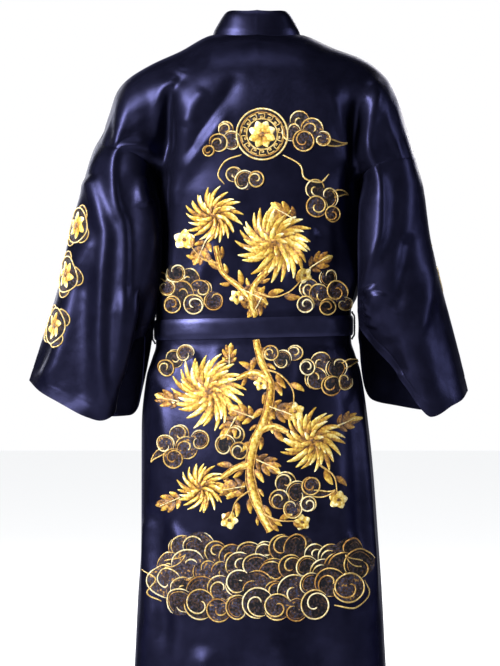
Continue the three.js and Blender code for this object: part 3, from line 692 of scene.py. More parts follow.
# ---- Cloth as a grid of points
@dataclass
class Cloth:
    """A grid of points in rows, the columns round a tube where it is closed."""

    points: np.ndarray
    closed: bool = False
    fixed: dict[Edge, Callable] = field(default_factory=dict)  # what makes an edge's normals from its own

    def normals(self) -> np.ndarray:
        """Find the outward directions at the points.

        Returns:
            Unit vectors, those of the fixed edges by their own rules.
        """
        p = self.points
        if self.closed:
            along = np.roll(p, -1, 1) - np.roll(p, 1, 1)
        else:
            along = np.empty_like(p)
            along[:, 1:-1] = p[:, 2:] - p[:, :-2]
            along[:, 0], along[:, -1] = p[:, 1] - p[:, 0], p[:, -1] - p[:, -2]
        down = np.empty_like(p)
        down[1:-1] = p[2:] - p[:-2]
        down[0], down[-1] = p[1] - p[0], p[-1] - p[-2]
        n = unit(np.cross(along, down))
        for edge, rule in self.fixed.items():
            where = {Edge.TOP: np.s_[0], Edge.FIRST: np.s_[:, 0], Edge.LAST: np.s_[:, -1]}[edge]
            n[where] = rule(n[where])
        return n

    def moved(self, amount: np.ndarray) -> "Cloth":
        """The grid moved along its normals."""
        return Cloth(self.points + self.normals() * amount[..., None], self.closed, self.fixed)

    def wall(self, name: str, inner: Value, outer: Value, uv: np.ndarray,
             finish: bpy.types.Material) -> bpy.types.Object:
        """A closed wall between two distances off the grid.

        Args:
            name: the piece's name.
            inner: distance of the inner face, a number or an array.
            outer: distance of the outer face.
            uv: the flat cloth's coordinates of each point, in millimetres.
            finish: its material.

        Returns:
            The new piece.
        """
        nv, nu = self.points.shape[:2]
        n = self.normals()
        shape = (nv, nu, 1)
        faces = [self.points + n * np.broadcast_to(np.asarray(w, float), (nv, nu)).reshape(shape)
                 for w in (inner, outer)]
        index = np.arange(nv * nu).reshape(nv, nu)
        cols = np.arange(nu if self.closed else nu - 1)
        nxt = (cols + 1) % nu
        a, b = index[:-1][:, cols], index[:-1][:, nxt]
        c, e = index[1:][:, nxt], index[1:][:, cols]
        m = nv * nu
        quads = [np.stack([a + m, b + m, c + m, e + m], -1).reshape(-1, 4),
                 np.stack([a, e, c, b], -1).reshape(-1, 4)]
        for row, flip in ((0, False), (nv - 1, True)):
            p, q = index[row][cols], index[row][nxt]
            rim = np.stack([p, q, q + m, p + m], -1)
            quads.append(rim[:, ::-1] if flip else rim)
        if not self.closed:
            for col, flip in ((0, False), (nu - 1, True)):
                p, q = index[:-1, col], index[1:, col]
                rim = np.stack([p + m, q + m, q, p], -1)
                quads.append(rim[:, ::-1] if flip else rim)
        verts = np.concatenate([f.reshape(-1, 3) for f in faces])
        flat = np.concatenate([uv.reshape(-1, 2)] * 2)
        return make_mesh(name, verts, np.concatenate(quads).tolist(), flat, finish)


def bilinear(values: np.ndarray, row: np.ndarray, column: np.ndarray) -> np.ndarray:
    """Read a grid between its points.

    Args:
        values: the grid.
        row, column: where, in fractional rows and columns.

    Returns:
        The values there.
    """
    nv, nu = values.shape[:2]
    row = np.clip(row, 0, nv - 1.001)
    column = np.clip(column, 0, nu - 1.001)
    j, i = row.astype(int), column.astype(int)
    fj, fi = (row - j)[..., None], (column - i)[..., None]
    top = values[j, i] * (1 - fi) + values[j, i + 1] * fi
    low = values[j + 1, i] * (1 - fi) + values[j + 1, i + 1] * fi
    return top * (1 - fj) + low * fj


def make_mesh(name: str, verts: np.ndarray, faces: list, uv: np.ndarray, finish: bpy.types.Material,
              tone: np.ndarray | None = None, angle: float = 50.0) -> bpy.types.Object:
    """A new object from points in millimetres and faces.

    Args:
        name: the piece's name.
        verts: its points.
        faces: each face's corner numbers.
        uv: flat coordinates of each point, in millimetres.
        finish: its material.
        tone: a value from 0 to 1 of each point, which its material reads.
        angle: edges sharper than this many degrees stay crisp.

    Returns:
        The new object.
    """
    mesh = bpy.data.meshes.new(name)
    mesh.from_pydata((verts * MM).tolist(), [], faces)
    mesh.polygons.foreach_set("use_smooth", [True] * len(mesh.polygons))
    corner = np.empty(len(mesh.loops), np.int32)
    mesh.loops.foreach_get("vertex_index", corner)
    layer = mesh.uv_layers.new(name="cloth")
    layer.data.foreach_set("uv", (uv[corner] * MM).astype(np.float32).ravel())
    if tone is not None:
        mesh.attributes.new("tone", "FLOAT", "POINT").data.foreach_set("value", tone.astype(np.float32))
    mesh.set_sharp_from_angle(angle=math.radians(angle))
    mesh.update()
    mesh.materials.append(finish)
    obj = bpy.data.objects.new(name, mesh)
    bpy.context.scene.collection.objects.link(obj)
    return obj


# ---- Finishes
class Nodes:
    """Short ways to add nodes to a material or a world."""

    def __init__(self, owner: bpy.types.Material | bpy.types.World, shader: str = "Principled BSDF") -> None:
        """Start on the owner's nodes.

        Args:
            owner: the material or world.
            shader: the node that dress sets.
        """
        owner.use_nodes = True
        self.owner, self.tree = owner, owner.node_tree
        self.shader = self.tree.nodes[shader]

    def add(self, kind: str, values: dict | None = None, **settings: object) -> bpy.types.Node:
        """Add a node.

        Args:
            kind: the node's type.
            values: its sockets' values or links, by socket.
            settings: its other settings.

        Returns:
            The node.
        """
        node = self.tree.nodes.new(kind)
        for key, value in settings.items():
            setattr(node, key, value)
        for key, value in (values or {}).items():
            self.put(node.inputs[key], value)
        return node

    def put(self, socket: bpy.types.NodeSocket, value: object) -> None:
        """Set a socket's value, or link it.

        Args:
            socket: the input.
            value: a value, or the output that is linked to it.
        """
        if isinstance(value, bpy.types.NodeSocket):
            self.tree.links.new(value, socket)
        else:
            socket.default_value = value

    def ramp(self, factor: bpy.types.NodeSocket, *stops: tuple) -> bpy.types.NodeSocket:
        """A colour ramp.

        Args:
            factor: what it reads.
            stops: rows of a place and a colour.

        Returns:
            The ramp's colour.
        """
        node = self.add("ShaderNodeValToRGB", {"Fac": factor})
        while len(node.color_ramp.elements) < len(stops):
            node.color_ramp.elements.new(0.5)
        for element, (place, colour) in zip(node.color_ramp.elements, stops):
            element.position = place
            element.color = (*colour, 1.0)
        return node.outputs["Color"]

    def math(self, how: str, a: object, b: object) -> bpy.types.NodeSocket:
        """A Math node of two values."""
        return self.add("ShaderNodeMath", {0: a, 1: b}, operation=how).outputs[0]

    def noise(self, vector: bpy.types.NodeSocket, scale: float, detail: float) -> bpy.types.NodeSocket:
        """Noise over a vector."""
        node = self.add("ShaderNodeTexNoise", {"Vector": vector, "Scale": scale, "Detail": detail})
        return node.outputs["Fac"]

    def dress(self, **sockets: object) -> bpy.types.Material | bpy.types.World:
        """Set the shader's sockets.

        Args:
            sockets: values or links by the socket's name, with spaces as underscores.

        Returns:
            The owner.
        """
        for key, value in sockets.items():
            self.put(self.shader.inputs[key.replace("_", " ")], value)
        return self.owner


@dataclass(frozen=True)
class Satin:
    """Dark blue satin with a coloured gloss, a fine weave and a slightly uneven surface."""

    name: str
    base: tuple = (0.0094, 0.0098, 0.0245)
    edge: tuple = (0.19, 0.20, 0.29)
    metallic: float = 0.88
    roughness: float = 0.365
    weave: float = 0.05
    mottle: float = 0.16

    def make(self) -> bpy.types.Material:
        """Build the material.

        Returns:
            The material.
        """
        n = Nodes(bpy.data.materials.new(self.name))
        at = n.add("ShaderNodeTexCoord")
        waves = {"Vector": at.outputs["UV"], "Scale": 420.0, "Distortion": 1.5, "Detail": 1.0}
        threads = n.add("ShaderNodeTexWave", waves, bands_direction="Y").outputs["Fac"]
        soft = n.noise(at.outputs["Object"], 34.0, 4.0)
        fine = n.noise(at.outputs["Object"], 190.0, 3.0)
        dim, bright = (tuple(gain * c for c in self.base) for gain in (0.8, 1.2))
        colour = n.ramp(soft, (0.3, dim), (0.7, bright))
        rough = n.add("ShaderNodeMapRange", {"Value": fine, "To Min": self.roughness - 0.05,
                                             "To Max": self.roughness + 0.07}).outputs["Result"]
        first = n.add("ShaderNodeBump", {"Height": threads, "Strength": self.weave, "Distance": 0.0004})
        second = n.add("ShaderNodeBump", {"Height": soft, "Strength": self.mottle, "Distance": 0.003,
                                          "Normal": first.outputs["Normal"]})
        third = n.add("ShaderNodeBump", {"Height": fine, "Strength": self.mottle * 0.5, "Distance": 0.0008,
                                         "Normal": second.outputs["Normal"]})
        facing = n.add("ShaderNodeLayerWeight", {"Blend": 0.5}).outputs["Facing"]
        metallic = n.add("ShaderNodeMapRange", {"Value": facing, "From Min": 0.66, "From Max": 0.95,
                                                "To Min": self.metallic, "To Max": 0.12}).outputs["Result"]
        return n.dress(Base_Color=colour, Roughness=rough, Metallic=metallic, Specular_IOR_Level=0.02,
                       Specular_Tint=(*self.edge, 1.0), Anisotropic=0.35, Normal=third.outputs["Normal"])


@dataclass(frozen=True)
class Thread:
    """Laid embroidery thread, its colour read from the piece's tone and streaked along the stitches."""

    name: str
    stops: tuple
    roughness: float = 0.38
    metallic: float = 0.35
    stitch: float = 260.0
    speckle: float = 0.25
    speckle_size: float = 260.0
    gloss: float = 0.5

    def make(self) -> bpy.types.Material:
        """Build the material.

        Returns:
            The material.
        """
        n = Nodes(bpy.data.materials.new(self.name))
        at = n.add("ShaderNodeTexCoord")
        tone = n.add("ShaderNodeAttribute", attribute_name="tone").outputs["Fac"]
        streak = n.noise(at.outputs["Object"], self.speckle_size, 2.0)
        spread = n.math("MULTIPLY", n.math("SUBTRACT", streak, 0.5), self.speckle * 4)
        colour = n.ramp(n.math("ADD", tone, spread), *self.stops)
        waves = {"Vector": at.outputs["UV"], "Scale": self.stitch, "Distortion": 0.6}
        threads = n.add("ShaderNodeTexWave", waves, bands_direction="X").outputs["Fac"]
        bump = n.add("ShaderNodeBump", {"Height": threads, "Strength": 0.5, "Distance": 0.0005})
        return n.dress(Base_Color=colour, Roughness=self.roughness, Metallic=self.metallic,
                       Specular_IOR_Level=self.gloss, Normal=bump.outputs["Normal"])


GOLD_THREAD = Thread("gold_thread", ((0.0, (0.045, 0.016, 0.002)), (0.28, (0.21, 0.090, 0.007)),
                                     (0.55, (0.42, 0.265, 0.026)), (0.80, (0.56, 0.46, 0.15)),
                                     (1.0, (0.70, 0.65, 0.42))), metallic=0.3, roughness=0.44)
CORD_THREAD = Thread("gold_cord", ((0.0, (0.08, 0.030, 0.005)), (0.4, (0.27, 0.125, 0.016)),
                                   (0.75, (0.46, 0.33, 0.10)), (1.0, (0.60, 0.54, 0.34))), stitch=500.0,
                     metallic=0.35)
CLOUD_THREAD = Thread("cloud_thread", ((0.0, (0.001, 0.001, 0.002)), (0.34, (0.004, 0.005, 0.009)),
                                       (0.46, (0.050, 0.022, 0.006)), (0.56, (0.006, 0.006, 0.010)),
                                       (0.68, (0.026, 0.034, 0.080)), (0.80, (0.010, 0.009, 0.010)),
                                       (1.0, (0.24, 0.13, 0.035))),
                      roughness=0.6, metallic=0.0, speckle=0.55, speckle_size=260.0, gloss=0.1)
SATIN = Satin("navy_satin")
BAND_SATIN = Satin("neckband_satin", roughness=0.32, mottle=0.12)
# Painted highlight: the sash is the robe's navy satin, but its base colour is doubled to stand in for the
# sheen the sash catches across the back.
SASH_SATIN = Satin("sash_satin", base=(0.019, 0.020, 0.048), roughness=0.33, mottle=0.12)


# ---- Pieces of cloth
YOKE_ROWS, SKIRT_ROWS = 72, 200


def rows_of_body() -> np.ndarray:
    """The rows of a body panel: close together at the shoulder, even further down."""
    return np.concatenate([ARMHOLE * (np.arange(YOKE_ROWS + 1) / YOKE_ROWS) ** 1.25,
                           ARMHOLE + (LENGTH - ARMHOLE) * np.arange(1, SKIRT_ROWS + 1) / SKIRT_ROWS])


def edge_normal(n: np.ndarray) -> np.ndarray:
    """Normals of a body panel's outer edge: level at the ends and below the armhole, free along it.

    Args:
        n: the edge's own normals.

    Returns:
        The normals to use.
    """
    d = rows_of_body()[:, None]
    level = np.maximum(smooth((d - ARMHOLE + 24) / 24), 1 - smooth(d / 14))
    return unit(mix(n, unit(n * np.array([1.0, 0.0, 1.0])), level))


def groove(distance: np.ndarray) -> np.ndarray:
    """How far the outer face sinks beside a line of stitches, by the distance from it."""
    return GROOVE_DEEP * np.exp(-((distance / GROOVE_WIDTH) ** 2))


def across_rows(p: np.ndarray) -> np.ndarray:
    """How far along its row each point of a grid is."""
    step = np.linalg.norm(np.diff(p, axis=1), axis=-1)
    return np.concatenate([np.zeros((p.shape[0], 1)), np.cumsum(step, 1)], 1)


def sewn_face(p: np.ndarray, seams: tuple) -> np.ndarray:
    """Lay the outer face of a piece, with its dents along the seams and the stitched turn-up.

    Args:
        p: the piece's grid of points.
        seams: which of its edges are seams.

    Returns:
        The outer face's distance off the grid at each point.
    """
    along, down = across_rows(p), across_rows(p.swapaxes(0, 1)).T
    distance = {Edge.FIRST: along, Edge.LAST: along[:, -1:] - along, Edge.TOP: down}
    near = np.min([distance[seam] for seam in seams], axis=0)
    return OUTER - groove(near) - groove(down[-1:] - down - TURN_UP)


def lifted(points: np.ndarray, normals: np.ndarray, row: np.ndarray, column: np.ndarray,
           lift: Value) -> np.ndarray:
    """Read places off the outer face of a piece.

    Args:
        points, normals: the piece's grid.
        row, column: where, in fractional rows and columns.
        lift: height off the outer face.

    Returns:
        The points, in millimetres.
    """
    out = unit(bilinear(normals, row, column))
    return bilinear(points, row, column) + out * (OUTER + np.asarray(lift))[..., None]


class Panel:
    """A body panel, sewn at its top and both long edges."""

    name: str
    cloth: Cloth

    def build(self, finish: bpy.types.Material) -> bpy.types.Object:
        """Make the panel's piece.

        Args:
            finish: its material.

        Returns:
            The new piece.
        """
        p = self.cloth.points
        along = across_rows(p)
        uv = np.stack([along - along[:, -1:] / 2, np.broadcast_to(-rows_of_body()[:, None], p.shape[:2])], -1)
        return self.cloth.wall(self.name, INNER, sewn_face(p, tuple(Edge)), uv, finish)


@dataclass
class BackPanel(Panel):
    """The back, with a map from a place seen from behind to its rows and columns."""

    columns: int = 131
    half: float = 190.0
    top: float = -22.0
    bottom: float = -1262.0
    step: float = 4.0

    def __post_init__(self) -> None:
        """Lay out the cloth and its map."""
        self.name = "robe_back"
        rows = rows_of_body()
        base = body_point(np.linspace(-1, 1, self.columns)[None, :], rows[:, None], Face.BACK)
        cloth = Cloth(base, fixed={Edge.FIRST: edge_normal, Edge.LAST: edge_normal})
        self.cloth = cloth.moved(body_folds(base, Face.BACK))
        self.cloth.points[..., 1] += crossing_lift(base, True)
        x, z = np.meshgrid(np.arange(-self.half, self.half + 1, self.step),
                           np.arange(self.bottom, self.top + 1, self.step))
        d = -z + 0.0
        for _ in range(6):
            a = column_at(x, d, Face.BACK)
            d = np.clip(d + body_point(a, d, Face.BACK)[..., 2] - z, 0, LENGTH)
        self.map = np.stack([np.interp(d, rows, np.arange(len(rows))),
                             (column_at(x, d, Face.BACK) + 1) / 2 * (self.columns - 1)], -1)
        self.normals = self.cloth.normals()

    def place(self, x: np.ndarray, z: np.ndarray, lift: Value) -> np.ndarray:
        """Points on the cloth's outer face.

        Args:
            x, z: the place as seen from behind.
            lift: height off the outer face.

        Returns:
            The points, in millimetres.
        """
        where = bilinear(self.map, (z - self.bottom) / self.step, (x + self.half) / self.step)
        return lifted(self.cloth.points, self.normals, where[..., 0], where[..., 1], lift)


@dataclass
class FrontPanel(Panel):
    """One front, from its edge to the side seam."""

    side: Side
    columns: int = 62

    def __post_init__(self) -> None:
        """Lay out the cloth, the left front outside the right one."""
        self.name = "robe_front_" + self.side.value
        sign, rows = self.side.sign, rows_of_body()
        first = column_at(sign * front_edge(rows), rows)
        share = np.linspace(0, 1, self.columns) ** 0.9
        a = mix(first[:, None], float(sign), share[None, :])
        p = body_point(a, np.broadcast_to(rows[:, None], a.shape), Face.FRONT)
        seam = Edge.LAST
        if self.side is Side.LEFT:
            p[..., 1] -= overlap_lift(p[..., 0], rows[:, None])
            p, seam = p[:, ::-1], Edge.FIRST
        self.cloth = Cloth(p, fixed={seam: edge_normal}).moved(body_folds(p, Face.FRONT))


@dataclass
class SleevePiece:
    """A wide sleeve, hanging from the armhole to an open cuff."""

    side: Side
    rings: int = 150
    steps: int = 108
    length: float = 460.0

    def point(self, turn: np.ndarray, s: np.ndarray) -> np.ndarray:
        """Find points of the sleeve before its folds.

        Args:
            turn: how far round the arm, in degrees.
            s: the share of the way to the cuff.

        Returns:
            The points, in millimetres.
        """
        table = SLEEVE_TABLE[self.side.value]
        turn, s = np.broadcast_arrays(turn, s)
        c, n = np.cos(np.radians(turn)), np.sin(np.radians(turn))
        sign = self.side.sign

        def at(column: str, where: np.ndarray) -> np.ndarray:
            """A column of the sleeve's table."""
            return read(table["s"], table[column], where)

        def loop(where: np.ndarray) -> np.ndarray:
            """The ring before the armhole and the cuff correct it.

            Args:
                where: the share of the way to the cuff.

            Returns:
                The ring's points.
            """
            share = np.where(n >= 0, (1 + c) / 2, ((1 + c) / 2) ** 0.8)
            sag = np.where(n >= 0, at("sagBack", where) * np.abs(n) ** 3,
                           at("sagFront", where) * np.abs(n) ** 0.8 * (1 - 0.5 * c))
            depth = np.where(n >= 0, at("back", where), at("front", where))
            x = mix(at("inX", where), at("outX", where), share) * sign
            y = depth * np.sign(n) * np.abs(n) ** 0.9 + at("inY", where) * ((1 - c) / 2) ** 2
            z = mix(at("inZ", where), at("outZ", where), share) - sag
            return np.stack([x, y, z], -1)

        hem = np.stack([read(CUFF_TURN, axis, turn) for axis in CUFF[self.side.value]], -1)
        hem[..., 0] *= sign
        zero, one = np.zeros(s.shape), np.ones(s.shape)
        half = np.where(turn <= 180, turn, 360 - turn) / 180
        d = ARMHOLE * half ** (1 / ARMHOLE_POWER)
        back, front = (body_point(sign + 0 * d, d, face) for face in Face)
        armhole = np.where((turn <= 180)[..., None], back, front)
        p = loop(s) + (armhole - loop(zero)) * (1 - smooth(s / 0.3))[..., None]
        return p + (hem - loop(one)) * smooth((s - 0.45) / 0.55)[..., None]

    def __post_init__(self) -> None:
        """Lay out the cloth with its folds."""
        half = 180 * (np.arange(self.steps + 1) / self.steps) ** 1.35
        turns = np.concatenate([half, (360 - half[1:-1])[::-1]])
        self.turns = turns[::-1].copy() if self.side is Side.LEFT else turns
        self.shares = (np.arange(self.rings) / (self.rings - 1)) ** 0.95
        p = self.point(self.turns[None, :], self.shares[:, None])
        x, z = np.abs(p[..., 0]), p[..., 2]
        back, front = (fold_height(SLEEVE_FOLDS[self.side, face], x, z) for face in Face)
        share = self.shares[:, None]
        height = np.where(p[..., 1] > 0, back, front) * smooth(np.abs(p[..., 1]) / 30) * smooth(share / 0.16)
        fine = 0.4 * ripple(x, z * 0.4, 60, 8 + len(self.side.value)) + 0.10 * ripple(x, z * 0.8, 20, 11)
        self.cloth = Cloth(p, closed=True).moved(height + fine * smooth(share / 0.2))
        self.cloth.points[..., 1] += crossing_lift(p, False)

    def place(self, turn0: float, s0: float) -> Place:
        """A function that lays a flat design round one place of the sleeve.

        Args:
            turn0, s0: the design's middle.

        Returns:
            A function of x, z and lift, as the back's place.
        """
        probe_turn, probe_share = 4.0, 0.05
        order = np.argsort(self.turns)
        points, normals = self.cloth.points[:, order], self.cloth.normals()[:, order]
        turns = self.turns[order]
        points = np.concatenate([points, points, points], 1)
        normals = np.concatenate([normals, normals, normals], 1)
        turns = np.concatenate([turns - 360, turns, turns + 360])
        probe = self.point(np.array([turn0, turn0 + probe_turn, turn0]) % 360,
                           np.array([s0, s0, s0 + probe_share]))
        per_turn = np.linalg.norm(probe[1] - probe[0]) / probe_turn
        per_share = np.linalg.norm(probe[2] - probe[0]) / probe_share

        def on_sleeve(x: np.ndarray, z: np.ndarray, lift: Value) -> np.ndarray:
            """Points on the sleeve's outer face.

            Args:
                x, z: the place in the flat design.
                lift: height off the outer face.

            Returns:
                The points, in millimetres.
            """
            row = np.interp(s0 - z / per_share, self.shares, np.arange(len(self.shares)))
            column = np.interp(turn0 - x / per_turn, turns, np.arange(len(turns)))
            return lifted(points, normals, row, column, lift)

        return on_sleeve

    def build(self, finish: bpy.types.Material) -> bpy.types.Object:
        """Make the sleeve's piece.

        Args:
            finish: its material.

        Returns:
            The new piece.
        """
        p = self.cloth.points
        down = np.broadcast_to(-self.length * self.shares[:, None], p.shape[:2])
        uv = np.stack([across_rows(p), down], -1)
        return self.cloth.wall("robe_sleeve_" + self.side.value, INNER, sewn_face(p, (Edge.TOP,)), uv, finish)


@dataclass
class Neckband:
    """The band along both front edges and round the neck, lying on the chest and standing at the nape."""

    width: float = BAND_WIDTH
    across: int = 11
    lean: float = 0.58  # how far its standing part leans in over the shoulders

    def side_rows(self, side: Side, d: np.ndarray) -> np.ndarray:
        """Lay the band along one front.

        Args:
            side: the front's side.
            d: the rows that it is laid at.

        Returns:
            The band's points.
        """
        edge = front_edge(d)[:, None]
        w = np.linspace(0, 1, self.across)[None, :]
        x = side.sign * (edge - self.width * w)
        d = np.broadcast_to(d[:, None], x.shape)
        p = body_point(column_at(x, d), d, Face.FRONT)
        if side is Side.LEFT:
            p[..., 1] -= overlap_lift(p[..., 0], d)
        up = np.array([-side.sign * self.lean, -0.25, 0.78]) * self.width
        stand = (1 - smooth(d / 110))[..., None]
        return mix(p, p[:, :1] + w[..., None] * up, stand)

    def build(self, finish: bpy.types.Material) -> bpy.types.Object:
        """Make the band's piece.

        Args:
            finish: its material.

        Returns:
            The new piece.
        """
        down = rows_of_body()[1:]
        column = NECK_HALF / SHOULDER_END
        w = np.linspace(0, 1, self.across)
        root = body_point(np.linspace(-column, column, 61), 0.0, Face.BACK)
        off = (root[:, 0] / NECK_HALF)[:, None]
        out = unit(np.concatenate([-self.lean * np.sign(off) * off**2, -0.28 * (1 - off**2), 1 + 0 * off], 1))
        nape = root[:, None] + w[None, :, None] * out[:, None] * self.width
        p = np.concatenate([self.side_rows(Side.RIGHT, down[::-1]), nape, self.side_rows(Side.LEFT, down)])
        cloth = Cloth(p).moved(np.where(p[..., 1] < 0, body_folds(p, Face.FRONT), 0))
        uv = np.stack([np.broadcast_to(w * self.width, p.shape[:2]),
                       np.broadcast_to(lengths_along(p[:, 0])[:, None], p.shape[:2])], -1)
        stitches = GROOVE_DEEP * np.exp(-(((w - 0.1) * self.width / 1.4) ** 2))
        crown = 2.9 * (1 - 0.75 * np.abs(2 * w - 1) ** 5) - stitches
        return cloth.wall("robe_neckband", 0.2, np.broadcast_to(crown, p.shape[:2]), uv, finish)


@dataclass
class Sash:
    """The sash round the waist, its knot, its two ends and the two side loops."""

    finish: bpy.types.Material
    across: int = 11
    knot_half: tuple = (24, 9, 20)
    end_drop: dict = field(default_factory=lambda: {Side.LEFT: 335, Side.RIGHT: 350})

    @staticmethod
    def over_stack(x: Value, y: Value) -> np.ndarray:
        """How much further out the sash lies over the wrapped fronts."""
        more = (overlap_lift(x, -SASH_Z) + smooth((130 - x) / 40)) * smooth((x + 150) / 50)
        return np.where(y > 0, 0.0, more)

    def band(self) -> bpy.types.Object:
        """Make the sash itself.

        Returns:
            The new piece.
        """
        steps = 260
        turn = 4 * np.arange(steps) / steps
        a = np.where(turn <= 1, turn, np.where(turn <= 3, 2 - turn, turn - 4))
        back = (turn <= 1) | (turn > 3)
        d = np.full(steps, -SASH_Z)
        ring = np.where(back[:, None], body_point(a, d, Face.BACK), body_point(a, d, Face.FRONT))
        w = np.linspace(1, -1, self.across)
        p = np.repeat(ring[None], self.across, 0)
        wave = 0.8 * np.sin(ring[:, 0] / 31.0 + 1.0) + 0.5 * np.sin(ring[:, 0] / 12.0)
        p[..., 2] = SASH_Z - SASH_TILT * p[..., 0] + w[:, None] * (SASH_WIDTH / 2 - 0.15 * wave[None])
        cloth = Cloth(p, closed=True).moved(WALL + SASH_GAP + self.over_stack(p[..., 0], p[..., 1]))
        crown = 1.0 + 1.9 * (1 - np.abs(w) ** 6) - 0.5 * np.exp(-(((np.abs(w) - 0.86) / 0.05) ** 2))
        pull = 0.35 * np.sin(6.0 * turn + 2.5 * w[:, None]) + 0.3 * np.sin(17.0 * turn - 3 * w[:, None])
        uv = np.stack([np.broadcast_to(lengths_along(ring)[None], p.shape[:2]),
                       np.broadcast_to(w[:, None] * SASH_WIDTH / 2, p.shape[:2])], -1)
        return cloth.wall("sash_band", 0.2, crown[:, None] + 0.4 * pull * (1 - w[:, None] ** 2), uv,
                          self.finish)

    def knot(self) -> bpy.types.Object:
        """Make the knot in front, a lump of crossing turns of sash.

        Returns:
            The new piece.
        """
        body = -body_point(0.0, -SASH_Z, Face.FRONT)[1]
        front = body + WALL + SASH_GAP + float(self.over_stack(0.0, -1.0)) + SASH_WALL
        wide, deep, high = self.knot_half
        nv, nu = 72, 96
        v = np.linspace(0.02, math.pi - 0.02, nv)[:, None]
        u = np.linspace(0, math.tau, nu, endpoint=False)[None]

        def power(value: np.ndarray) -> np.ndarray:
            """A rounder square."""
            return np.sign(value) * np.abs(value) ** 0.62

        x, y, z = np.sin(v) * np.cos(u), np.sin(v) * np.sin(u), np.cos(v) + 0 * u
        p = np.stack([wide * power(x), deep * power(y) - front - deep - 0.5, high * power(z) + SASH_Z], -1)
        px, pz = p[..., 0], p[..., 2] - SASH_Z
        wrap = np.exp(-(((px * 0.5 + pz * 0.2) / 9.0) ** 2))
        crease = 1.6 * np.sin((px * 0.9 - pz * 0.5) / 3.1) * (1 - wrap)
        crease = crease + 1.0 * np.sin((pz + 0.3 * px) / 2.2) * wrap
        edge = -2.6 * np.exp(-(((np.abs(px * 0.93 + pz * 0.37) - 10.5) / 1.6) ** 2))
        hide = smooth((-(p[..., 1] + front) - 2.5) / 5)
        n = Cloth(p, closed=True).normals()
        if (n[nv // 2] * (p[nv // 2] - p[nv // 2].mean(0))).sum() < 0:
            n = -n
        q = p + n * ((crease + edge - 1.2) * hide)[..., None]
        index = np.arange(nv * nu).reshape(nv, nu)
        nxt = (np.arange(nu) + 1) % nu
        quads = np.stack([index[:-1], index[1:], index[1:][:, nxt], index[:-1][:, nxt]], -1)
        faces = quads.reshape(-1, 4).tolist() + [index[0].tolist(), index[-1][::-1].tolist()]
        verts = q.reshape(-1, 3)
        return make_mesh("sash_knot_turns", verts, faces, verts[:, [0, 2]], self.finish, angle=180.0)

    def end(self, side: Side) -> bpy.types.Object:
        """Make one free end, from under the knot down the front.

        Args:
            side: the side it hangs on.

        Returns:
            The new piece.
        """
        t = np.linspace(0, 1, 90)[:, None]
        w = np.linspace(1, -1, self.across)[None]
        spread = smooth(t * 2.2)
        x = side.sign * (12 + 24 * spread) + w * mix(8, SASH_WIDTH / 2, spread)
        z = SASH_Z - 20.6 - self.end_drop[side] * t + 0 * x
        p = body_point(column_at(x, -z), -z, Face.FRONT)
        on_cloth = p[..., 1] - body_folds(p, Face.FRONT) - OVERLAP_LIFT - BAND_WALL - 1.2 - 1.5 * (1 - w * w)
        under_knot = -124.0
        y = mix(under_knot, on_cloth, smooth(t * 7))
        pleat = 1.3 * np.sin(w * 3.0 + 0.6) * (1 - smooth(t * 2.0)) + 0.5 * np.sin(t * 23 + w * 2)
        p = np.stack([x, y - pleat * 0.5, z], -1)
        uv = np.stack([x, z], -1)
        crown = 2.8 * (1 - 0.7 * np.abs(w) ** 6) - 0.4 * np.exp(-(((np.abs(w) - 0.84) / 0.06) ** 2))
        crown = np.broadcast_to(crown, x.shape)
        return Cloth(p).wall("sash_tail_" + side.value, INNER, crown, uv, self.finish)

    def loop(self, side: Side) -> bpy.types.Object:
        """Make one side loop of twisted cord, sewn to the side seam above and below the sash.

        Args:
            side: the side it is on.

        Returns:
            The new piece.
        """
        path = spline([(3.2, 24), (4.4, 20.5), (7.2, 16), (7.6, 8), (7.7, 0), (7.6, -8), (7.2, -16),
                       (4.4, -20.5), (3.2, -24)], 5)
        seam_x = 165
        z = SASH_Z - SASH_TILT * side.sign * seam_x + path[:, 1]
        seam = body_point(side.sign + 0 * z, -z, Face.BACK)
        centre = np.stack([seam[:, 0] + side.sign * path[:, 0], 0 * z, z], -1)
        level = np.broadcast_to([0.0, 1.0, 0.0], centre.shape)
        verts, strips, _ = tube(centre, level, 1.5, 10, twist=0.9)
        faces = [face for strip in strips for face in strip.tolist()]
        return make_mesh("sash_loop_cord_" + side.value, verts, faces, verts[:, [1, 2]], self.finish)


# ---- Embroidery
def tube(centre: np.ndarray, across: np.ndarray, radius: Value, sides: int = 6, twist: float = 0.0) -> tuple:
    """A closed tube along points.

    Args:
        centre: its middle line.
        across: a direction square to the line at each point.
        radius: its radius, a number or an array.
        sides: how many sides it has.
        twist: how deep the strands of a twisted cord show, 0 for none.

    Returns:
        Its points, its two arrays of faces and how far along each point is.
    """
    along = unit(np.gradient(centre, axis=0))
    across = unit(across - along * (across * along).sum(-1, keepdims=True))
    up = np.cross(across, along)
    r = np.broadcast_to(np.asarray(radius, float), (len(centre),))[:, None]
    angle = np.linspace(0, math.tau, sides, endpoint=False)[None]
    step = lengths_along(centre)[:, None]
    if twist:
        r = r * (1 + 0.18 * twist * np.cos(2 * angle - step * 2.4))
    way = across[:, None] * np.cos(angle)[..., None] + up[:, None] * np.sin(angle)[..., None]
    ring = centre[:, None] + way * np.broadcast_to(r, (len(centre), sides))[..., None]
    index = np.arange(len(centre) * sides).reshape(len(centre), sides)
    nxt = np.roll(index, -1, 1)
    quads = np.stack([index[:-1], nxt[:-1], nxt[1:], index[1:]], -1).reshape(-1, 4)
    ends = len(centre) * sides + np.arange(2)
    first, last = index[0], index[-1]
    caps = [np.stack([np.full(sides, ends[0]), np.roll(first, -1), first, first], -1),
            np.stack([np.full(sides, ends[1]), last, np.roll(last, -1), last], -1)]
    verts = np.concatenate([ring.reshape(-1, 3), centre[:1], centre[-1:]])
    far = np.concatenate([np.repeat(step[:, 0], sides), [0], step[-1]])
    return verts, [quads, np.concatenate(caps)[:, :3]], far


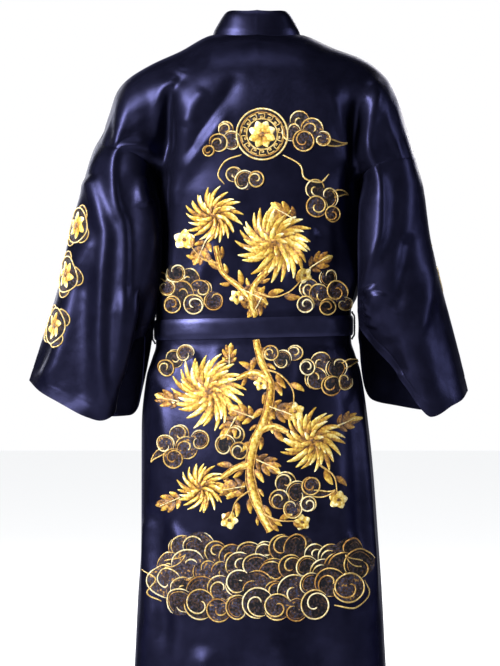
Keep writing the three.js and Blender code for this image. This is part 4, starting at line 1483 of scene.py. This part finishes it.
@dataclass
class Layer:
    """Everything sewn in one thread: it gathers patches and cords, then makes one piece of them."""

    name: str
    finish: bpy.types.Material
    cord_sides: int = 6
    verts: list = field(default_factory=list)
    faces: list = field(default_factory=list)
    uv: list = field(default_factory=list)
    tone: list = field(default_factory=list)
    count: int = 0

    def take(self, verts: np.ndarray, strips: list, uv: np.ndarray, tone: np.ndarray) -> None:
        """Add a patch or a cord to what is sewn so far.

        Args:
            verts: its points.
            strips: arrays of faces, by the corners' numbers among its points.
            uv, tone: the flat coordinates and the tone of each point.
        """
        for strip in strips:
            self.faces += (strip + self.count).tolist()
        self.verts.append(verts)
        self.uv.append(uv)
        self.tone.append(np.broadcast_to(tone, (len(verts),)))
        self.count += len(verts)

    def patch(self, place: Place, x: np.ndarray, z: np.ndarray, rise: np.ndarray, base: float,
              tone: np.ndarray, uv: np.ndarray) -> None:
        """Add a filled patch: a grid of places, each with its rise over the patch's base.

        Args:
            place: lays places on the cloth.
            x, z: the grid's places.
            rise: height over the base, 0 round the rim.
            base: height of the rim over the cloth.
            tone: the grid's tones.
            uv: the stitches' coordinates.
        """
        nv, nu = x.shape
        top = place(x, z, base + rise)
        low = place(x, z, np.full(x.shape, -0.5))
        verts = np.concatenate([top.reshape(-1, 3), low.reshape(-1, 3)])
        index = np.arange(nv * nu).reshape(nv, nu)
        m = nv * nu
        a, b, c, e = index[:-1, :-1], index[:-1, 1:], index[1:, 1:], index[1:, :-1]
        quads = np.stack([a, b, c, e], -1).reshape(-1, 4)
        under = quads[:, ::-1] + m
        border = np.concatenate([index[0], index[1:, -1], index[-1, -2::-1], index[-2:0:-1, 0]])
        nxt = np.roll(border, -1)
        rim = np.stack([nxt, border, border + m, nxt + m], -1)
        faces = np.concatenate([quads, under, rim])
        i, j = nv // 2, nu // 2
        n = np.cross(top[i, j] - top[i, j - 1], top[i, j] - top[i - 1, j])
        if (n * (top[i, j] - low[i, j])).sum() < 0:
            faces = faces[:, ::-1]
        self.take(verts, [faces], np.concatenate([uv.reshape(-1, 2)] * 2), np.concatenate([tone.ravel()] * 2))

    def cord(self, place: Place, path: np.ndarray, radius: Value, base: float, tone: Value) -> None:
        """Add a couched cord.

        Args:
            place: lays places on the cloth.
            path: its path of places.
            radius: its radius.
            base: height of its middle over the cloth.
            tone: its tone.
        """
        if len(path) < 3:
            return
        x, z = path[:, 0], path[:, 1]
        centre = place(x, z, np.full(len(x), base))
        above = place(x, z, np.full(len(x), base + 1.0))
        along = unit(np.gradient(centre, axis=0))
        across = np.cross(along, above - centre)
        verts, strips, far = tube(centre, across, radius, self.cord_sides)
        tone = np.broadcast_to(tone, (len(x),))
        self.take(verts, strips, np.stack([far, 0 * far], -1),
                  np.append(np.repeat(tone, self.cord_sides), tone[[0, -1]]))

    def build(self) -> bpy.types.Object:
        """Make the layer's piece.

        Returns:
            The new piece.
        """
        verts, uv, tone = (np.concatenate(rows) for rows in (self.verts, self.uv, self.tone))
        return make_mesh(self.name, verts, self.faces, uv, self.finish, np.clip(tone, 0, 1), 70.0)


@dataclass
class Needle:
    """Sews motifs in three threads on one cloth."""

    place: Place
    gold: Layer
    cords: Layer
    dark: Layer

    def disc(self, layer: Layer, x0: float, z0: float, radius: float, base: float, rise: float,
             tone: float) -> None:
        """A round filled patch.

        Args:
            layer: the thread.
            x0, z0, radius: its middle and its size.
            base, rise: height of its rim over the cloth, and of its middle over the rim.
            tone: its tone.
        """
        r = np.linspace(0.02, 1, 6)[:, None]
        t = np.linspace(0, math.tau, 29)[None]
        x, z = x0 + radius * r * np.cos(t), z0 + radius * r * np.sin(t)
        shade = tone + 0.16 * np.sin(3 * t + x0) * r + 0.1 * (r - 0.5)
        layer.patch(self.place, x, z, rise * (1 - r**3) + 0 * t, base, shade, np.stack([x, z], -1))

    def petal(self, x0: float, z0: float, turn: float, start: float, length: float, width: float,
              bend: float, base: float, tone: tuple, rise: float = 1.0) -> None:
        """A laid petal or leaf, bowed to one side.

        Args:
            x0, z0: what it grows from.
            turn: its direction.
            start, length, width: where it starts from there, and its size.
            bend: how far it bows.
            base: its rim over the cloth.
            tone: its tones at the foot and at the tip.
            rise: how far its middle stands up.
        """
        u = np.linspace(0, 1, 11)[:, None]
        v = np.linspace(-1, 1, 6)[None]
        half = width / 2 * (np.sin(math.pi * np.clip(u * 0.92 + 0.05, 0, 1) ** 0.8) ** 0.7 + 0.02)
        angle = turn + bend * (u - 0.2)
        reach = start + length * u
        x = x0 + reach * np.cos(angle) - v * half * np.sin(angle)
        z = z0 + reach * np.sin(angle) + v * half * np.cos(angle)
        shade = mix(tone[0], tone[1], u) - 0.14 * np.abs(v) ** 2 + 0.06 * np.sin(9 * u + turn * 3)
        shade = shade + 0.16 * math.sin(7.3 * turn + 0.05 * x0) * (0.4 + 0.6 * u)
        high = rise * (1 - v**2) * np.sin(math.pi * np.clip(u * 0.96 + 0.02, 0, 1)) ** 0.5
        stitches = np.stack([u * length + 0 * v, v * half], -1)
        self.gold.patch(self.place, x, z, high, base, shade + 0 * v, stitches)

    def chrysanthemum(self, x0: float, z0: float, radius: float, petals: int, seed: int) -> None:
        """A full bloom of long bowed petals in four rings round a small eye.

        Args:
            x0, z0, radius: its middle and its size.
            petals: how many the outermost ring has.
            seed: picks how the petals vary.
        """
        rng = np.random.default_rng(seed)
        for ring, (start, length, count, width, tone) in enumerate((
            (0.40, 0.62, petals, 0.160, (0.10, 0.80)),
            (0.27, 0.58, petals - 4, 0.165, (0.25, 0.95)),
            (0.15, 0.48, petals - 8, 0.160, (0.05, 0.85)),
            (0.05, 0.34, petals - 13, 0.150, (0.20, 0.95)),
        )):
            for k in range(count):
                turn = math.tau * (k + 0.5 * ring) / count + rng.uniform(-0.06, 0.06)
                self.petal(x0, z0, turn, start * radius, length * radius * rng.uniform(0.85, 1.12),
                           width * radius, 0.42 + rng.uniform(-0.12, 0.12), 0.3 + 0.6 * ring, tone)
        self.disc(self.gold, x0, z0, radius * 0.09, 2.6, 0.8, 0.12)

    def blossom(self, x0: float, z0: float, radius: float, turn: float) -> None:
        """A small five-petalled flower with a dark eye.

        Args:
            x0, z0, radius: its middle and its size.
            turn: the first petal's direction.
        """
        base = 0.4
        for k in range(5):
            self.petal(x0, z0, turn + math.tau * k / 5, radius * 0.14, radius * 0.86, radius * 0.85, 0.0,
                       base, (0.55, 0.95), 1.1)
        self.disc(self.gold, x0, z0, radius * 0.2, base + 0.9, 0.5, 0.05)

    @staticmethod
    def scroll(x0: float, z0: float, radius: float, start: float, hand: int, turns: float) -> np.ndarray:
        """The outline of a scroll: once round, then curling into the middle.

        Args:
            x0, z0, radius: its middle and its size.
            start: the direction it starts in.
            hand: 1 or -1, the way it turns.
            turns: how far it goes round.

        Returns:
            The outline's places.
        """
        t = np.linspace(0, turns, max(24, int(turns * radius * 2.3)))
        shrink = np.where(t < 0.72, 1.0, 1.0 - 0.80 * smooth((t - 0.72) / (turns - 0.6)))
        angle = start + hand * math.tau * t
        return np.stack([x0 + radius * shrink * np.cos(angle), z0 + radius * shrink * np.sin(angle)], -1)

    def cloud(self, rows: list) -> None:
        """A bank of scroll clouds.

        Args:
            rows: each scroll's x, z, radius and start in degrees, and its hand where that doesn't just
                alternate; a later scroll lies over an earlier one.
        """
        base = 0.3
        rows = [(x, z, radius * 1.14, start, *hand) for x, z, radius, start, *hand in rows]
        for k, (x0, z0, radius, start, *other) in enumerate(rows):
            hand = other[0] if other else (-1) ** k
            level = base + 0.13 * (k % 7)
            self.disc(self.dark, x0, z0, radius, level, 0.5, 0.42 + 0.16 * math.sin(2.3 * k + x0))
            lines = [(1.0, 1.0, 1.3, 0.72), (0.8, 0.8, 0.6, 0.30)] if k % 3 == 1 else [(1.0, 1.75, 1.3, 0.72)]
            for scale, turns, width, shade in lines:
                path = self.scroll(x0, z0, radius * scale, math.radians(start), hand, turns)
                hidden = np.zeros(len(path), bool)
                for x1, z1, over, *_ in rows[k + 1:]:
                    hidden |= np.hypot(path[:, 0] - x1, path[:, 1] - z1) < over - 0.2
                for run in runs(~hidden):
                    count = np.arange(len(run))
                    taper = np.clip(np.minimum(count, count[::-1]) / 4, 0.35, 1)
                    tint = 0.16 * np.sin(np.linspace(0, 5, len(run)) + 2.1 * k)
                    if len(run) > 4:
                        self.cords.cord(self.place, path[run], width * taper, level + 0.45,
                                        shade + 0.26 * math.sin(1.7 * k) + tint)

    def wisp(self, x0: float, z0: float, turn: float, length: float, width: float, bend: float = 0.5) -> None:
        """A pointed tail of cloud, dark between two cords.

        Args:
            x0, z0: its foot.
            turn: its direction in degrees.
            length, width: its size.
            bend: how far it curls.
        """
        u = np.linspace(0, 1, 13)[:, None]
        v = np.linspace(-1, 1, 5)[None]
        half = width / 2 * (1 - u) ** 0.8 * (0.75 + 0.5 * np.sin(math.pi * u))
        angle = math.radians(turn) + bend * u**2 * 1.6
        steps = np.stack([np.cos(angle[1:, 0]), np.sin(angle[1:, 0])], -1) * length / 12
        mid = np.cumsum(np.concatenate([[[0.0, 0.0]], steps]), axis=0)
        x = x0 + mid[:, :1] - v * half * np.sin(angle)
        z = z0 + mid[:, 1:] + v * half * np.cos(angle)
        rise, tone = 0.4 * (1 - v**2) * (1 - u), 0.4 + 0.2 * v + 0 * u
        self.dark.patch(self.place, x, z, rise, 0.2, tone, np.stack([x, z], -1))
        there, back = np.stack([x[:, 0], z[:, 0]], -1), np.stack([x[-2::-1, -1], z[-2::-1, -1]], -1)
        edge = np.concatenate([there, back])
        self.cords.cord(self.place, spline(edge, 3), 1.25, 0.6, 0.65)

    def bough(self, points: tuple, width: tuple) -> None:
        """A winding branch in overlapping laid stitches between two cords, with leaves along it.

        Args:
            points: its path.
            width: its widths at even steps from start to end.
        """
        base = 0.3
        path = spline(points, 18)
        along = unit(np.gradient(path, axis=0))
        side = np.stack([-along[:, 1], along[:, 0]], -1)
        far = lengths_along(path)
        knobbly = 1 + 0.10 * np.sin(far / 13.0) + 0.06 * np.sin(far / 5.3)
        half = np.interp(far / far[-1], np.linspace(0, 1, len(width)), width) / 2 * knobbly
        v = np.linspace(-1, 1, 9)[None]
        x = path[:, :1] + side[:, :1] * half[:, None] * v
        z = path[:, 1:] + side[:, 1:] * half[:, None] * v
        ring = 0.5 + 0.5 * np.sin(far[:, None] / 2.1 + 5.0 * v)
        shade = 0.70 - 0.42 * np.abs(v) ** 1.5 - 0.30 * ring**3 + 0.12 * np.sin(far[:, None] / 21)
        rise = 2.0 * (1 - v**2) + 0.5 * ring * (1 - v**2)
        stitches = np.stack([far[:, None] + 0 * v, v * half[:, None]], -1)
        self.gold.patch(self.place, x, z, rise, base, shade, stitches)
        for s in (-1, 1):
            self.cords.cord(self.place, path + side * half[:, None] * s, 1.1, base + 0.5, 0.45)
        for k, at in enumerate(np.arange(14.0, far[-1] - 8, 15.0)):
            i = int(np.searchsorted(far, at))
            s = 1 if k % 2 else -1
            foot = path[i] + side[i] * half[i] * s * 0.9
            turn = math.atan2(along[i, 1], along[i, 0]) + s * (0.75 + 0.2 * math.sin(k))
            size = 21 + 5 * math.sin(1.9 * k)
            self.petal(foot[0], foot[1], turn, 0.5, size, size * 0.40, -s * 0.3, 0.25, (0.10, 0.62), 1.0)

    def leaf(self, x0: float, z0: float, turn: float, length: float) -> None:
        """A broad lobed leaf with a corded rib.

        Args:
            x0, z0: its foot.
            turn: its direction in degrees.
            length: its length.
        """
        way = math.radians(turn)
        aim_x, aim_z = length * math.cos(way), length * math.sin(way)
        for share, spread, size in ((0.10, 1.25, 0.42), (0.32, 0.95, 0.52), (0.52, 0.60, 0.46)):
            tone = (0.04 + 0.1 * share, 0.50 + 0.2 * math.sin(turn + 3 * share))
            for side in (-1, 1):
                self.petal(x0 + share * aim_x, z0 + share * aim_z, way + side * spread, 0.0, size * length,
                           size * length * 0.50, -side * 0.3, 0.25 + 0.3 * share, tone, 1.1)
        self.petal(x0, z0, way, 0.30 * length, 0.74 * length, 0.34 * length, 0.1, 0.5, (0.05, 0.62), 1.1)
        rib = np.array([(x0 + t * aim_x, z0 + t * aim_z) for t in np.linspace(0, 0.86, 14)])
        self.cords.cord(self.place, rib, np.linspace(1.3, 0.6, 14), 1.7, 0.9)

    def twig(self, points: tuple, leaves: tuple, size: float) -> None:
        """A thin twig with leaves along it.

        Args:
            points: its path.
            leaves: each leaf's share along the twig, its side and its size as a share.
            size: the length of a leaf.
        """
        path = spline(points, 10)
        self.cords.cord(self.place, path, np.linspace(1.9, 0.9, len(path)), 0.7, 0.6)
        for share, side, scale in leaves:
            i = int(share * (len(path) - 2))
            step = path[i + 1] - path[i]
            turn = math.atan2(step[1], step[0]) + side * 0.85
            self.petal(path[i][0], path[i][1], turn, 1.0, size * scale, size * scale * 0.42, -side * 0.35,
                       0.6, (0.2, 0.6), 1.2)

    def tendril(self, points: tuple, tone: float) -> None:
        """A single loose line of cord, thinner at its ends.

        Args:
            points: its path.
            tone: its tone.
        """
        path = spline(points, 12)
        start, end = np.linspace(0.6, 4, len(path)), np.linspace(4, 0.4, len(path))
        self.cords.cord(self.place, path, 1.4 * (np.clip(start, 0.5, 1) * np.clip(end, 0.4, 1)), 0.6, tone)

    def ring(self, x0: float, z0: float, radius: float, width: float, tone: float, base: float) -> None:
        """A closed line of cord.

        Args:
            x0, z0, radius: its middle and its size.
            width: the cord's radius.
            tone: its tone.
            base: height over the cloth.
        """
        path = circle(x0, z0, radius, max(36, int(radius * 2.2)))
        self.cords.cord(self.place, path, width, base, tone)

    def roundel(self, x0: float, z0: float, radius: float, frets: int, petals: int) -> None:
        """A round badge: a dark ground, a ring of key fret and a flower in the middle.

        Args:
            x0, z0, radius: its middle and its size.
            frets: how many hooks the fret has.
            petals: how many petals the flower has.
        """
        self.disc(self.dark, x0, z0, radius, 0.3, 0.2, 0.25)
        for scale, width, tone in ((1.0, 1.5, 0.8), (0.86, 0.9, 0.45), (0.60, 1.1, 0.7)):
            self.ring(x0, z0, radius * scale, width, tone, 0.6)
        inner, outer = radius * 0.65, radius * 0.81
        between = (inner * 2 + outer) / 3
        hook = [(0.08, outer), (0.80, outer), (0.80, inner), (0.30, inner), (0.30, between), (0.58, between)]
        for k in range(frets):
            start, span = math.tau * k / frets, math.tau / frets
            line = []
            for (a, r), (b, q) in zip(hook[:-1], hook[1:]):
                line += [(mix(a, b, t), mix(r, q, t)) for t in (0, 0.25, 0.5, 0.75)]
            line.append(hook[-1])
            turned = [(start + span * a, r) for a, r in line]
            path = np.array([(x0 + r * math.cos(turn), z0 + r * math.sin(turn)) for turn, r in turned])
            self.cords.cord(self.place, path, 0.8, 0.6, 0.7)
        for k in range(petals):
            self.petal(x0, z0, math.tau * k / petals + 0.3, radius * 0.08, radius * 0.46, radius * 0.36, 0.12,
                       0.5, (0.35, 0.95), 1.2)
        self.disc(self.gold, x0, z0, radius * 0.1, 1.4, 0.6, 0.1)


def wave(k: int, high: float, rate: float, start: float) -> float:
    """The height of a wave at its k-th place."""
    return high * math.sin(rate * k + start)


def circle(x0: float, z0: float, radius: float, count: int) -> np.ndarray:
    """Places round a circle, the last one on the first."""
    t = np.linspace(0, math.tau, count)
    return np.stack([x0 + radius * np.cos(t), z0 + radius * np.sin(t)], -1)


def runs(mask: np.ndarray) -> list[np.ndarray]:
    """Lists of neighbouring indices where a mask is true."""
    where = np.flatnonzero(mask)
    return np.split(where, np.flatnonzero(np.diff(where) > 1) + 1) if len(where) else []


CLOUD_BANK = (  # x of the ends, how many, height and its wave, size and its wave, turns, which hand
    (122, -150, 11, -862, (9, 1.15, 0.7), 19, (4, 2.1, 0), (40, 70), (2, 1)),
    (140, -166, 12, -890, (7, 1.9, 0), 20, (4, 1.3, 1), (200, 95), (3, -1)),
    (150, -150, 11, -920, (8, 1.4, 2), 20, (4, 2.6, 2), (120, 60), (2, 1)),
    (126, -96, 8, -950, (6, 1.7, 1), 19, (3, 1.9, 0), (300, 80), (2, -1)),
)
TWIG_LEAVES = ((0.3, 1, 1.0), (0.6, -1, 0.9), (0.98, 1, 0.8))  # place, side and size of each


@dataclass
class BackEmbroidery:
    """The large design on the back: chrysanthemums on a forked stem among scroll clouds."""

    needle: Needle

    def sew(self) -> None:
        """Sew the whole design on the back."""
        for stretch in (self.upper, self.middle, self.lower, self.bank):
            stretch()

    def upper(self) -> None:
        """The badge between the shoulders and the clouds round it."""
        n = self.needle
        n.tendril(((26, -206), (52, -216), (64, -238), (54, -254)), 0.75)
        n.tendril(((-42, -206), (-70, -222), (-78, -244), (-104, -250), (-118, -236)), 0.75)
        n.cloud([(-70, -150, 14, 200), (-56, -168, 13, 40), (-90, -164, 16, 320), (-76, -182, 15, 100),
                 (-108, -178, 10, 60)])
        n.wisp(-112, -182, 196, 34, 12, -0.4)
        n.cloud([(52, -164, 11, 20), (42, -182, 13, 150), (64, -186, 13, 300), (80, -198, 8, 90)])
        n.roundel(-8, -172, 42, 14, 8)

    def middle(self) -> None:
        """Two blooms over the sash on one slender stem, with the clouds beside them."""
        n = self.needle
        n.cloud([(-96, -262, 14, 180), (-116, -276, 15, 20), (-98, -290, 15, 140), (-124, -302, 11, 330)])
        n.wisp(-126, -270, 160, 30, 12, 0.5)
        n.cloud([(112, -412, 17, 210), (134, -400, 13, 30), (92, -428, 15, 110), (124, -434, 18, 300),
                 (148, -424, 11, 90), (104, -452, 14, 190), (140, -452, 12, 20), (72, -446, 13, 60)])
        n.wisp(146, -410, 24, 30, 12, 0.4)
        n.cloud([(-86, -426, 14, 250), (-118, -408, 13, 40), (-104, -436, 16, 120), (-132, -430, 15, 330),
                 (-146, -450, 10, 80), (-80, -452, 12, 200), (-116, -456, 12, 20)])
        n.cloud([(38, -238, 11, 100), (20, -248, 14, 220), (2, -246, 11, 10)])
        n.bough(((4, -471), (10, -446), (4, -420), (-16, -398)), (10, 8))
        n.bough(((10, -446), (30, -424), (58, -398), (68, -356)), (8, 6))
        n.twig(((6, -430), (-24, -440), (-52, -432), (-72, -412)),
               ((0.3, -1, 1.0), (0.6, 1, 1.0), (0.98, -1, 0.9)), 26)
        n.twig(((62, -384), (90, -376), (112, -352)), TWIG_LEAVES, 26)
        for row in ((24, -428, 205, 46), (-8, -440, 300, 40), (84, -346, 292, 44), (-62, -312, 30, 46),
                    (-86, -392, 148, 42)):
            n.leaf(*row)
        for row in ((-28, -350, 62, 21, 3), (72, -306, 46, 18, 5)):
            n.chrysanthemum(*row)
        for row in ((120, -344, 17, 0.4), (-78, -404, 14, 1.1), (34, -440, 12, 0.9)):
            n.blossom(*row)

    def lower(self) -> None:
        """Three blooms below the sash on a stem that forks down to the cloud bank."""
        n = self.needle
        n.cloud([(-104, -550, 14, 200), (-130, -560, 15, 40), (-96, -576, 16, 300), (-122, -588, 14, 90),
                 (-146, -582, 11, 150), (-82, -558, 11, 20, 1)])
        n.wisp(-142, -556, 150, 34, 12, 0.5)
        n.cloud([(136, -544, 13, 60), (118, -534, 12, 200), (150, -560, 11, 320)])
        n.cloud([(-62, -534, 11, 30), (-42, -544, 13, 190), (-22, -534, 11, 300)])
        n.cloud([(128, -668, 14, 80), (150, -684, 12, 210), (116, -690, 16, 330), (138, -708, 14, 120),
                 (94, -676, 13, 20)])
        n.wisp(152, -694, 330, 32, 12, -0.4)
        n.cloud([(-46, -746, 15, 30), (-66, -762, 16, 190), (-36, -774, 14, 300), (-88, -752, 13, 80),
                 (-58, -790, 13, 140), (-84, -782, 11, 250)])
        n.wisp(-92, -764, 190, 36, 13, -0.5)
        n.cloud([(36, -668, 13, 60), (52, -684, 14, 200), (30, -694, 12, 320)])
        n.bough(((2, -511), (-6, -546), (-22, -588), (-14, -636), (6, -684), (12, -734), (-2, -786),
                 (-22, -826)), (9, 11, 13, 15, 12))
        n.bough(((-20, -578), (4, -566), (34, -576)), (9, 7))
        n.bough(((-2, -662), (-26, -654), (-50, -664)), (9, 7))
        n.bough(((10, -716), (34, -722), (58, -738)), (10, 7))
        n.twig(((-12, -560), (-38, -570), (-58, -594), (-60, -620)), TWIG_LEAVES, 27)
        n.twig(((8, -756), (34, -776), (42, -800)), TWIG_LEAVES, 26)
        n.twig(((-8, -796), (-34, -808), (-66, -810)), TWIG_LEAVES, 26)
        n.twig(((-100, -716), (-124, -736), (-130, -766)),
               ((0.3, 1, 1.0), (0.6, -1, 0.9), (0.98, 1, 0.7)), 26)
        for row in ((-20, -622, 200, 46), (6, -640, 20, 44), (20, -752, 350, 46), (2, -708, 205, 44),
                    (34, -638, 300, 44), (128, -614, 10, 40), (-132, -654, 160, 42), (126, -772, 335, 42),
                    (46, -552, 90, 34)):
            n.leaf(*row)
        for row in ((80, -598, 60, 21, 7), (-90, -678, 52, 19, 9), (92, -756, 42, 18, 11)):
            n.chrysanthemum(*row)
        for row in ((-62, -630, 16, 0.2), (46, -808, 15, 0.7), (-74, -812, 14, 1.4), (-132, -776, 15, 0.5),
                    (-6, -584, 12, 0.1)):
            n.blossom(*row)

    def bank(self) -> None:
        """The long bank of scroll clouds under the stem."""
        n = self.needle
        rows = []
        for first, last, count, z, lift, size, swell, (turn, step), (every, hand) in CLOUD_BANK:
            for k, x in enumerate(np.linspace(first, last, count)):
                rows.append((x, z + wave(k, *lift), size + wave(k, *swell), turn + step * k,
                             hand if k % every else -hand))
        n.cloud(rows)
        n.wisp(150, -884, 168, 38, 14, -0.5)
        n.wisp(-172, -884, 12, 34, 13, 0.5)
        n.tendril(((160, -946), (176, -934), (168, -910), (184, -896)), 0.7)
        n.tendril(((-128, -950), (-160, -956), (-182, -936), (-176, -912)), 0.7)


BADGES = {  # each badge's turn round the arm, share along the sleeve and radius
    Side.LEFT: ((31, 0.375, 37), (30, 0.565, 38), (29, 0.76, 38)),
    Side.RIGHT: ((328, 0.375, 37), (328, 0.565, 38), (328, 0.76, 38)),
}


@dataclass
class SleeveBadges:
    """A chain of three small badges down the outer fold of a sleeve."""

    sleeve: SleevePiece
    gold: Layer
    cords: Layer
    dark: Layer
    lobes: int = 4
    petals: int = 6

    def sew(self) -> None:
        """Sew the chain."""
        for k, (turn, share, radius) in enumerate(BADGES[self.sleeve.side]):
            n = Needle(self.sleeve.place(turn, share), self.gold, self.cords, self.dark)
            lobe, disc = radius * 0.42, radius * 0.8
            for t in np.arange(self.lobes) * math.tau / self.lobes + 0.4 + k:
                x, z = radius * 0.62 * math.cos(t), radius * 0.62 * math.sin(t)
                n.disc(self.dark, x, z, lobe, 0.25, 0.2, 0.35)
                path = circle(x, z, lobe, 30)
                for run in runs(np.hypot(path[:, 0], path[:, 1]) > radius * 0.79):
                    if len(run) > 3:
                        self.cords.cord(n.place, path[run], 1.1, 0.6, 0.7)
            n.disc(self.dark, 0.0, 0.0, disc, 0.4, 0.2, 0.3)
            n.ring(0.0, 0.0, disc, 1.3, 0.8, 0.75)
            for j in range(self.petals):
                n.petal(0.0, 0.0, math.tau * j / self.petals + 0.2 * k, radius * 0.1, radius * 0.52,
                        radius * 0.36, 0.3 * (-1) ** k, 0.6, (0.3, 0.95), 1.2)
            n.disc(self.gold, 0.0, 0.0, radius * 0.13, 1.3, 0.5, 0.1)


# ---- Studio
@dataclass
class Studio:
    """The camera, the lights and the floor."""

    camera_at: tuple = (0.012, 4.0, -0.500)
    lens: float = 127.2
    floor_z: float = -1.300
    by_height: tuple = ((0.14, 1.0), (0.40, 0.08))
    by_side: tuple = ((0.015, 1.0), (0.10, 0.46), (0.35, 0.40), (0.80, 0.19))

    def camera(self) -> None:
        """A long lens, level, behind the robe."""
        data = bpy.data.cameras.new("camera")
        data.sensor_fit, data.sensor_height, data.lens = "VERTICAL", 36.0, self.lens
        data.clip_start, data.clip_end = 0.1, 100.0
        obj = bpy.data.objects.new("camera", data)
        obj.location = self.camera_at
        obj.rotation_euler = (math.radians(90), 0.0, math.radians(180))
        bpy.context.scene.collection.objects.link(obj)
        bpy.context.scene.camera = obj

    def light(self, name: str, at: tuple, aim: tuple, size: tuple, watts: float, colour: tuple) -> None:
        """A rectangular soft light.

        Args:
            name: its name.
            at, aim: where it is and where it points.
            size: its width and height.
            watts, colour: its power and its colour.
        """
        data = bpy.data.lights.new(name, "AREA")
        data.shape, data.size, data.size_y = "RECTANGLE", size[0], size[1]
        data.energy, data.color = watts, colour
        obj = bpy.data.objects.new(name, data)
        obj.location = at
        way = np.array(aim) - np.array(at)
        obj.rotation_euler = Vector(way.tolist()).to_track_quat("-Z", "Y").to_euler()
        bpy.context.scene.collection.objects.link(obj)

    def lights(self) -> None:
        """Two large soft boxes behind the robe's back, two in front of it, one above."""
        aim = (0.0, 0.0, -0.55)
        self.light("key", (2.3, 2.2, 0.9), aim, (0.8, 1.6), 430, (1.0, 0.98, 0.96))
        self.light("fill", (-2.9, 0.5, 0.4), aim, (0.6, 1.8), 45, (0.96, 0.97, 1.0))
        self.light("top", (0.3, 0.9, 2.4), aim, (1.4, 0.8), 20, (1.0, 1.0, 1.0))
        self.light("front_key", (-1.3, -3.0, 1.1), aim, (1.2, 1.8), 110, (1.0, 0.98, 0.96))
        self.light("front_fill", (1.8, -2.6, 0.5), aim, (0.9, 1.8), 70, (0.96, 0.97, 1.0))

    def floor(self) -> None:
        """A plain pale floor, which glows far out in front of the robe and runs into the room there."""
        bpy.ops.object.select_all(action="DESELECT")
        bpy.ops.mesh.primitive_plane_add(size=24, location=(0, 0, self.floor_z))
        floor = bpy.context.object
        floor.name = "floor"
        n = Nodes(bpy.data.materials.new("pale_floor"))
        apart = n.add("ShaderNodeSeparateXYZ", {"Vector": n.add("ShaderNodeTexCoord").outputs["Object"]})
        glow = n.add("ShaderNodeMapRange", {"Value": apart.outputs["Y"], "From Min": -1.5, "From Max": -0.4,
                                            "To Min": 1.0, "To Max": 0.22}).outputs["Result"]
        floor.data.materials.append(n.dress(Base_Color=(0.42, 0.42, 0.43, 1.0), Roughness=0.9,
                                            Emission_Color=(0.86, 0.87, 0.88, 1.0), Emission_Strength=glow))

    def room(self) -> None:
        """A room, white in front of the robe, darker overhead and behind it, where the satin mirrors it."""
        n = Nodes(bpy.data.worlds.new("studio"), "Background")
        way = n.add("ShaderNodeTexCoord").outputs["Generated"]
        apart = n.add("ShaderNodeSeparateXYZ", {"Vector": way})
        across = n.add("ShaderNodeMapRange", {"Value": apart.outputs["Y"], "From Min": -1.0})
        height, side = (n.ramp(factor, *((place, (value, value, value * 1.01)) for place, value in stops))
                        for factor, stops in ((apart.outputs["Z"], self.by_height),
                                              (across.outputs["Result"], self.by_side)))
        both = n.add("ShaderNodeMix", {0: 1.0, 6: height, 7: side}, data_type="RGBA", blend_type="MULTIPLY")
        bpy.context.scene.world = n.dress(Color=both.outputs[2])
        bpy.context.scene.view_settings.view_transform = "Standard"


# ---- The robe
def settle(piece: bpy.types.Object, node: str | None) -> None:
    """Put a piece on the body, in place of its node.

    Args:
        piece: the piece.
        node: the node that it stands for, or None.
    """
    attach(piece, "root")
    if node:
        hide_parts(node)
    triangles = sum(len(face.vertices) - 2 for face in piece.data.polygons)
    LOG.info("%s: %d triangles", piece.name, triangles)


def main() -> None:
    """Build the robe piece by piece."""
    logging.basicConfig(level=logging.INFO, format="%(name)s: %(message)s")
    studio = Studio()
    studio.camera()
    studio.lights()
    studio.floor()
    studio.room()
    satin, band_satin, sash_satin = SATIN.make(), BAND_SATIN.make(), SASH_SATIN.make()
    threads = {"gold": GOLD_THREAD.make(), "cord": CORD_THREAD.make(), "cloud": CLOUD_THREAD.make()}

    back = BackPanel()
    back_piece = back.build(satin)
    settle(back_piece, "back")
    layers = [Layer("embroidery_" + thread, finish) for thread, finish in threads.items()]
    BackEmbroidery(Needle(back.place, *layers)).sew()
    sewn = [layer.build() for layer in layers]
    for piece in sewn:
        settle(piece, None)

    for side in Side:
        front = FrontPanel(side).build(satin)
        settle(front, "front_" + side.value)
        sleeve = SleevePiece(side)
        sleeve_piece = sleeve.build(satin)
        settle(sleeve_piece, "sleeve_" + side.value)
        layers = [Layer(f"sleeve_{what}_{side.value}", finish)
                  for what, finish in zip(("gold", "cord", "ground"), threads.values())]
        SleeveBadges(sleeve, *layers).sew()
        sewn = [layer.build() for layer in layers]
        for piece in sewn:
            settle(piece, None)

    band = Neckband().build(band_satin)
    settle(band, "neckband")
    sash = Sash(sash_satin)
    around = sash.band()
    settle(around, "sash")
    settle(sash.knot(), "sash_knot")
    for side in Side:
        tail = sash.end(side)
        settle(tail, "sash_end_" + side.value)
        settle(sash.loop(side), "sash_loop_" + side.value)


if __name__ == "__main__":
    main()
